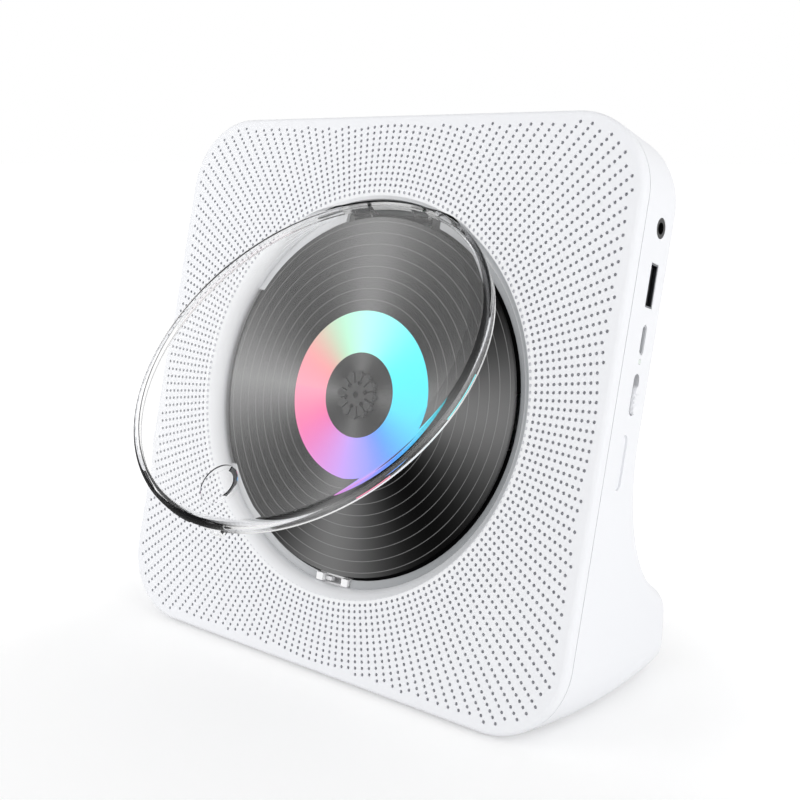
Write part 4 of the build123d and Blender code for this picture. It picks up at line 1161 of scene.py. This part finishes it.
@dataclass(frozen=True)
class SoftLight:
    """Square lamp that points at the object. Its place, size and target are in metres."""

    name: str
    place: Corner
    size: float
    watts: float
    target: Corner = (0.0, 0.0, 0.09)

    def build(self) -> None:
        """Adds the lamp."""
        data = bpy.data.lights.new(self.name, "AREA")
        data.shape = "SQUARE"
        data.size = self.size
        data.energy = self.watts
        lamp = bpy.data.objects.new(self.name, data)
        bpy.context.scene.collection.objects.link(lamp)
        lamp.visible_glossy = False
        lamp.visible_transmission = False
        lamp.location = self.place
        aim = Vector(self.target) - Vector(self.place)
        lamp.rotation_euler = aim.to_track_quat("-Z", "Y").to_euler()


@dataclass(frozen=True)
class Card:
    """Black card that only mirrors and clear plastic see, so that edges are drawn dark."""

    name: str
    low: Corner
    high: Corner
    finish: Finish = Finish("card_black", (10, 10, 11), 0.9, specular=0.0)

    def build(self) -> None:
        """Adds the card."""
        card = Bench.box(self.name, self.low, self.high)
        card.data.materials.append(self.finish.build())
        card.visible_camera = card.visible_diffuse = card.visible_shadow = False


@dataclass
class Studio:
    """White floor and surroundings, soft lamps and the camera.

    The eye is in millimetres; the floor's size, gain_reach and gain_middle are in metres.
    """

    eye: Corner = (233.75, -269.75, 167.2)
    right: Corner = (0.789, 0.614, 0.0)
    back: Corner = (0.600, -0.771, 0.212)
    lens: float = 50.0
    sensor: float = 36.0
    ambient: float = 0.86
    zenith: float = 0.52
    floor_size: float = 60.0
    floor_grey: float = 0.86
    # the floor's glow: weaker near gain_middle, a painted shade round the object, stronger far
    # away
    gain: Point = (0.24, 0.56)
    gain_reach: Point = (0.1, 0.22)
    gain_middle: Corner = (0.02, -0.05, 0.0)
    lamps: Sequence[SoftLight] = (
        SoftLight("right_lamp", (1.3, -0.25, 0.3), 0.9, 8.4),
        SoftLight("front_lamp", (-0.46, -0.54, 0.26), 0.5, 2.0),
    )
    cards: Sequence[Card] = (
        Card("front_card", (-900.0, -750.0, 4.0), (1200.0, -740.0, 700.0)),
        Card("floor_card", (-900.0, -740.0, 2.0), (900.0, -160.0, 3.0)),
    )

    def world(self) -> None:
        """Even surroundings that are white where they are seen or mirrored."""
        world = bpy.data.worlds.new("surroundings")
        bpy.context.scene.world = world
        world.use_nodes = True
        background = world.node_tree.nodes["Background"]
        tree = Tree(world.node_tree)
        up = tree.split(tree.add("ShaderNodeTexCoord").outputs["Generated"])["Z"]
        fade = tree.span(up, (0.0, 1.0), (self.ambient, self.zenith))
        strength = tree.math("MULTIPLY_ADD", tree.seen(), tree.math("SUBTRACT", 1.0, fade), fade)
        tree.fill(background, {"Color": rgba(WHITE), "Strength": strength})

    def floor(self) -> None:
        """Wide pale floor that keeps the object's shadow and glows white away from it; its glow
        is weaker near the object, a painted shade round it.
        """
        bpy.ops.mesh.primitive_plane_add(size=self.floor_size, location=(0, 0, 0))
        floor = Bench.named("floor")
        nodes = Nodes("floor")
        away = nodes.add("ShaderNodeVectorMath", {0: nodes.object_point(), 1: self.gain_middle},
                         operation="DISTANCE")
        gain = nodes.span(away.outputs["Value"], self.gain_reach, self.gain,
                          interpolation_type="SMOOTHSTEP")
        grey = self.floor_grey
        nodes.put({
            "Base Color": (grey, grey, grey, 1.0), "Roughness": 0.9, "Specular IOR Level": 0.0,
            "Emission Color": rgba(WHITE),
            "Emission Strength": nodes.math("MULTIPLY", nodes.seen(), gain)})
        floor.data.materials.append(nodes.material)

    def camera(self) -> None:
        """Camera at the three-quarter view."""
        data = bpy.data.cameras.new("camera")
        data.lens = self.lens
        data.sensor_width = self.sensor
        data.clip_start = 0.01
        camera = bpy.data.objects.new("camera", data)
        bpy.context.scene.collection.objects.link(camera)
        back = Vector(self.back).normalized()
        right = Vector(self.right).normalized()
        up = back.cross(right).normalized()
        right = up.cross(back)
        turn = Matrix((right, up, back)).transposed().to_4x4()
        camera.matrix_world = Matrix.Translation(Vector(self.eye) * MM) @ turn
        bpy.context.scene.camera = camera

    def build(self) -> None:
        """Sets the whole studio up."""
        self.world()
        self.floor()
        for lamp in self.lamps:
            lamp.build()
        for card in self.cards:
            card.build()
        self.camera()
        bpy.context.scene.view_settings.view_transform = "Standard"


def main() -> None:
    """Builds the looks round the frame and reports each piece."""
    logging.basicConfig(level=logging.INFO, format="%(name)s: %(message)s", stream=sys.stdout)
    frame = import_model()
    nodes = frame["nodes"]
    for material in list(bpy.data.materials):
        bpy.data.materials.remove(material)
    NodeFinishes(nodes).build()
    for part in (
        PerforatedFront(nodes["front_shell"]),
        PrintedDisc(),
        HubRosette(nodes["turntable_hub"]),
        ClearCover(nodes["dust_cover"]),
    ):
        piece = part.build()
        LOG.info("%s: %d faces", piece.name, len(piece.data.polygons))
    Studio().build()


if __name__ == "__main__":
    main()
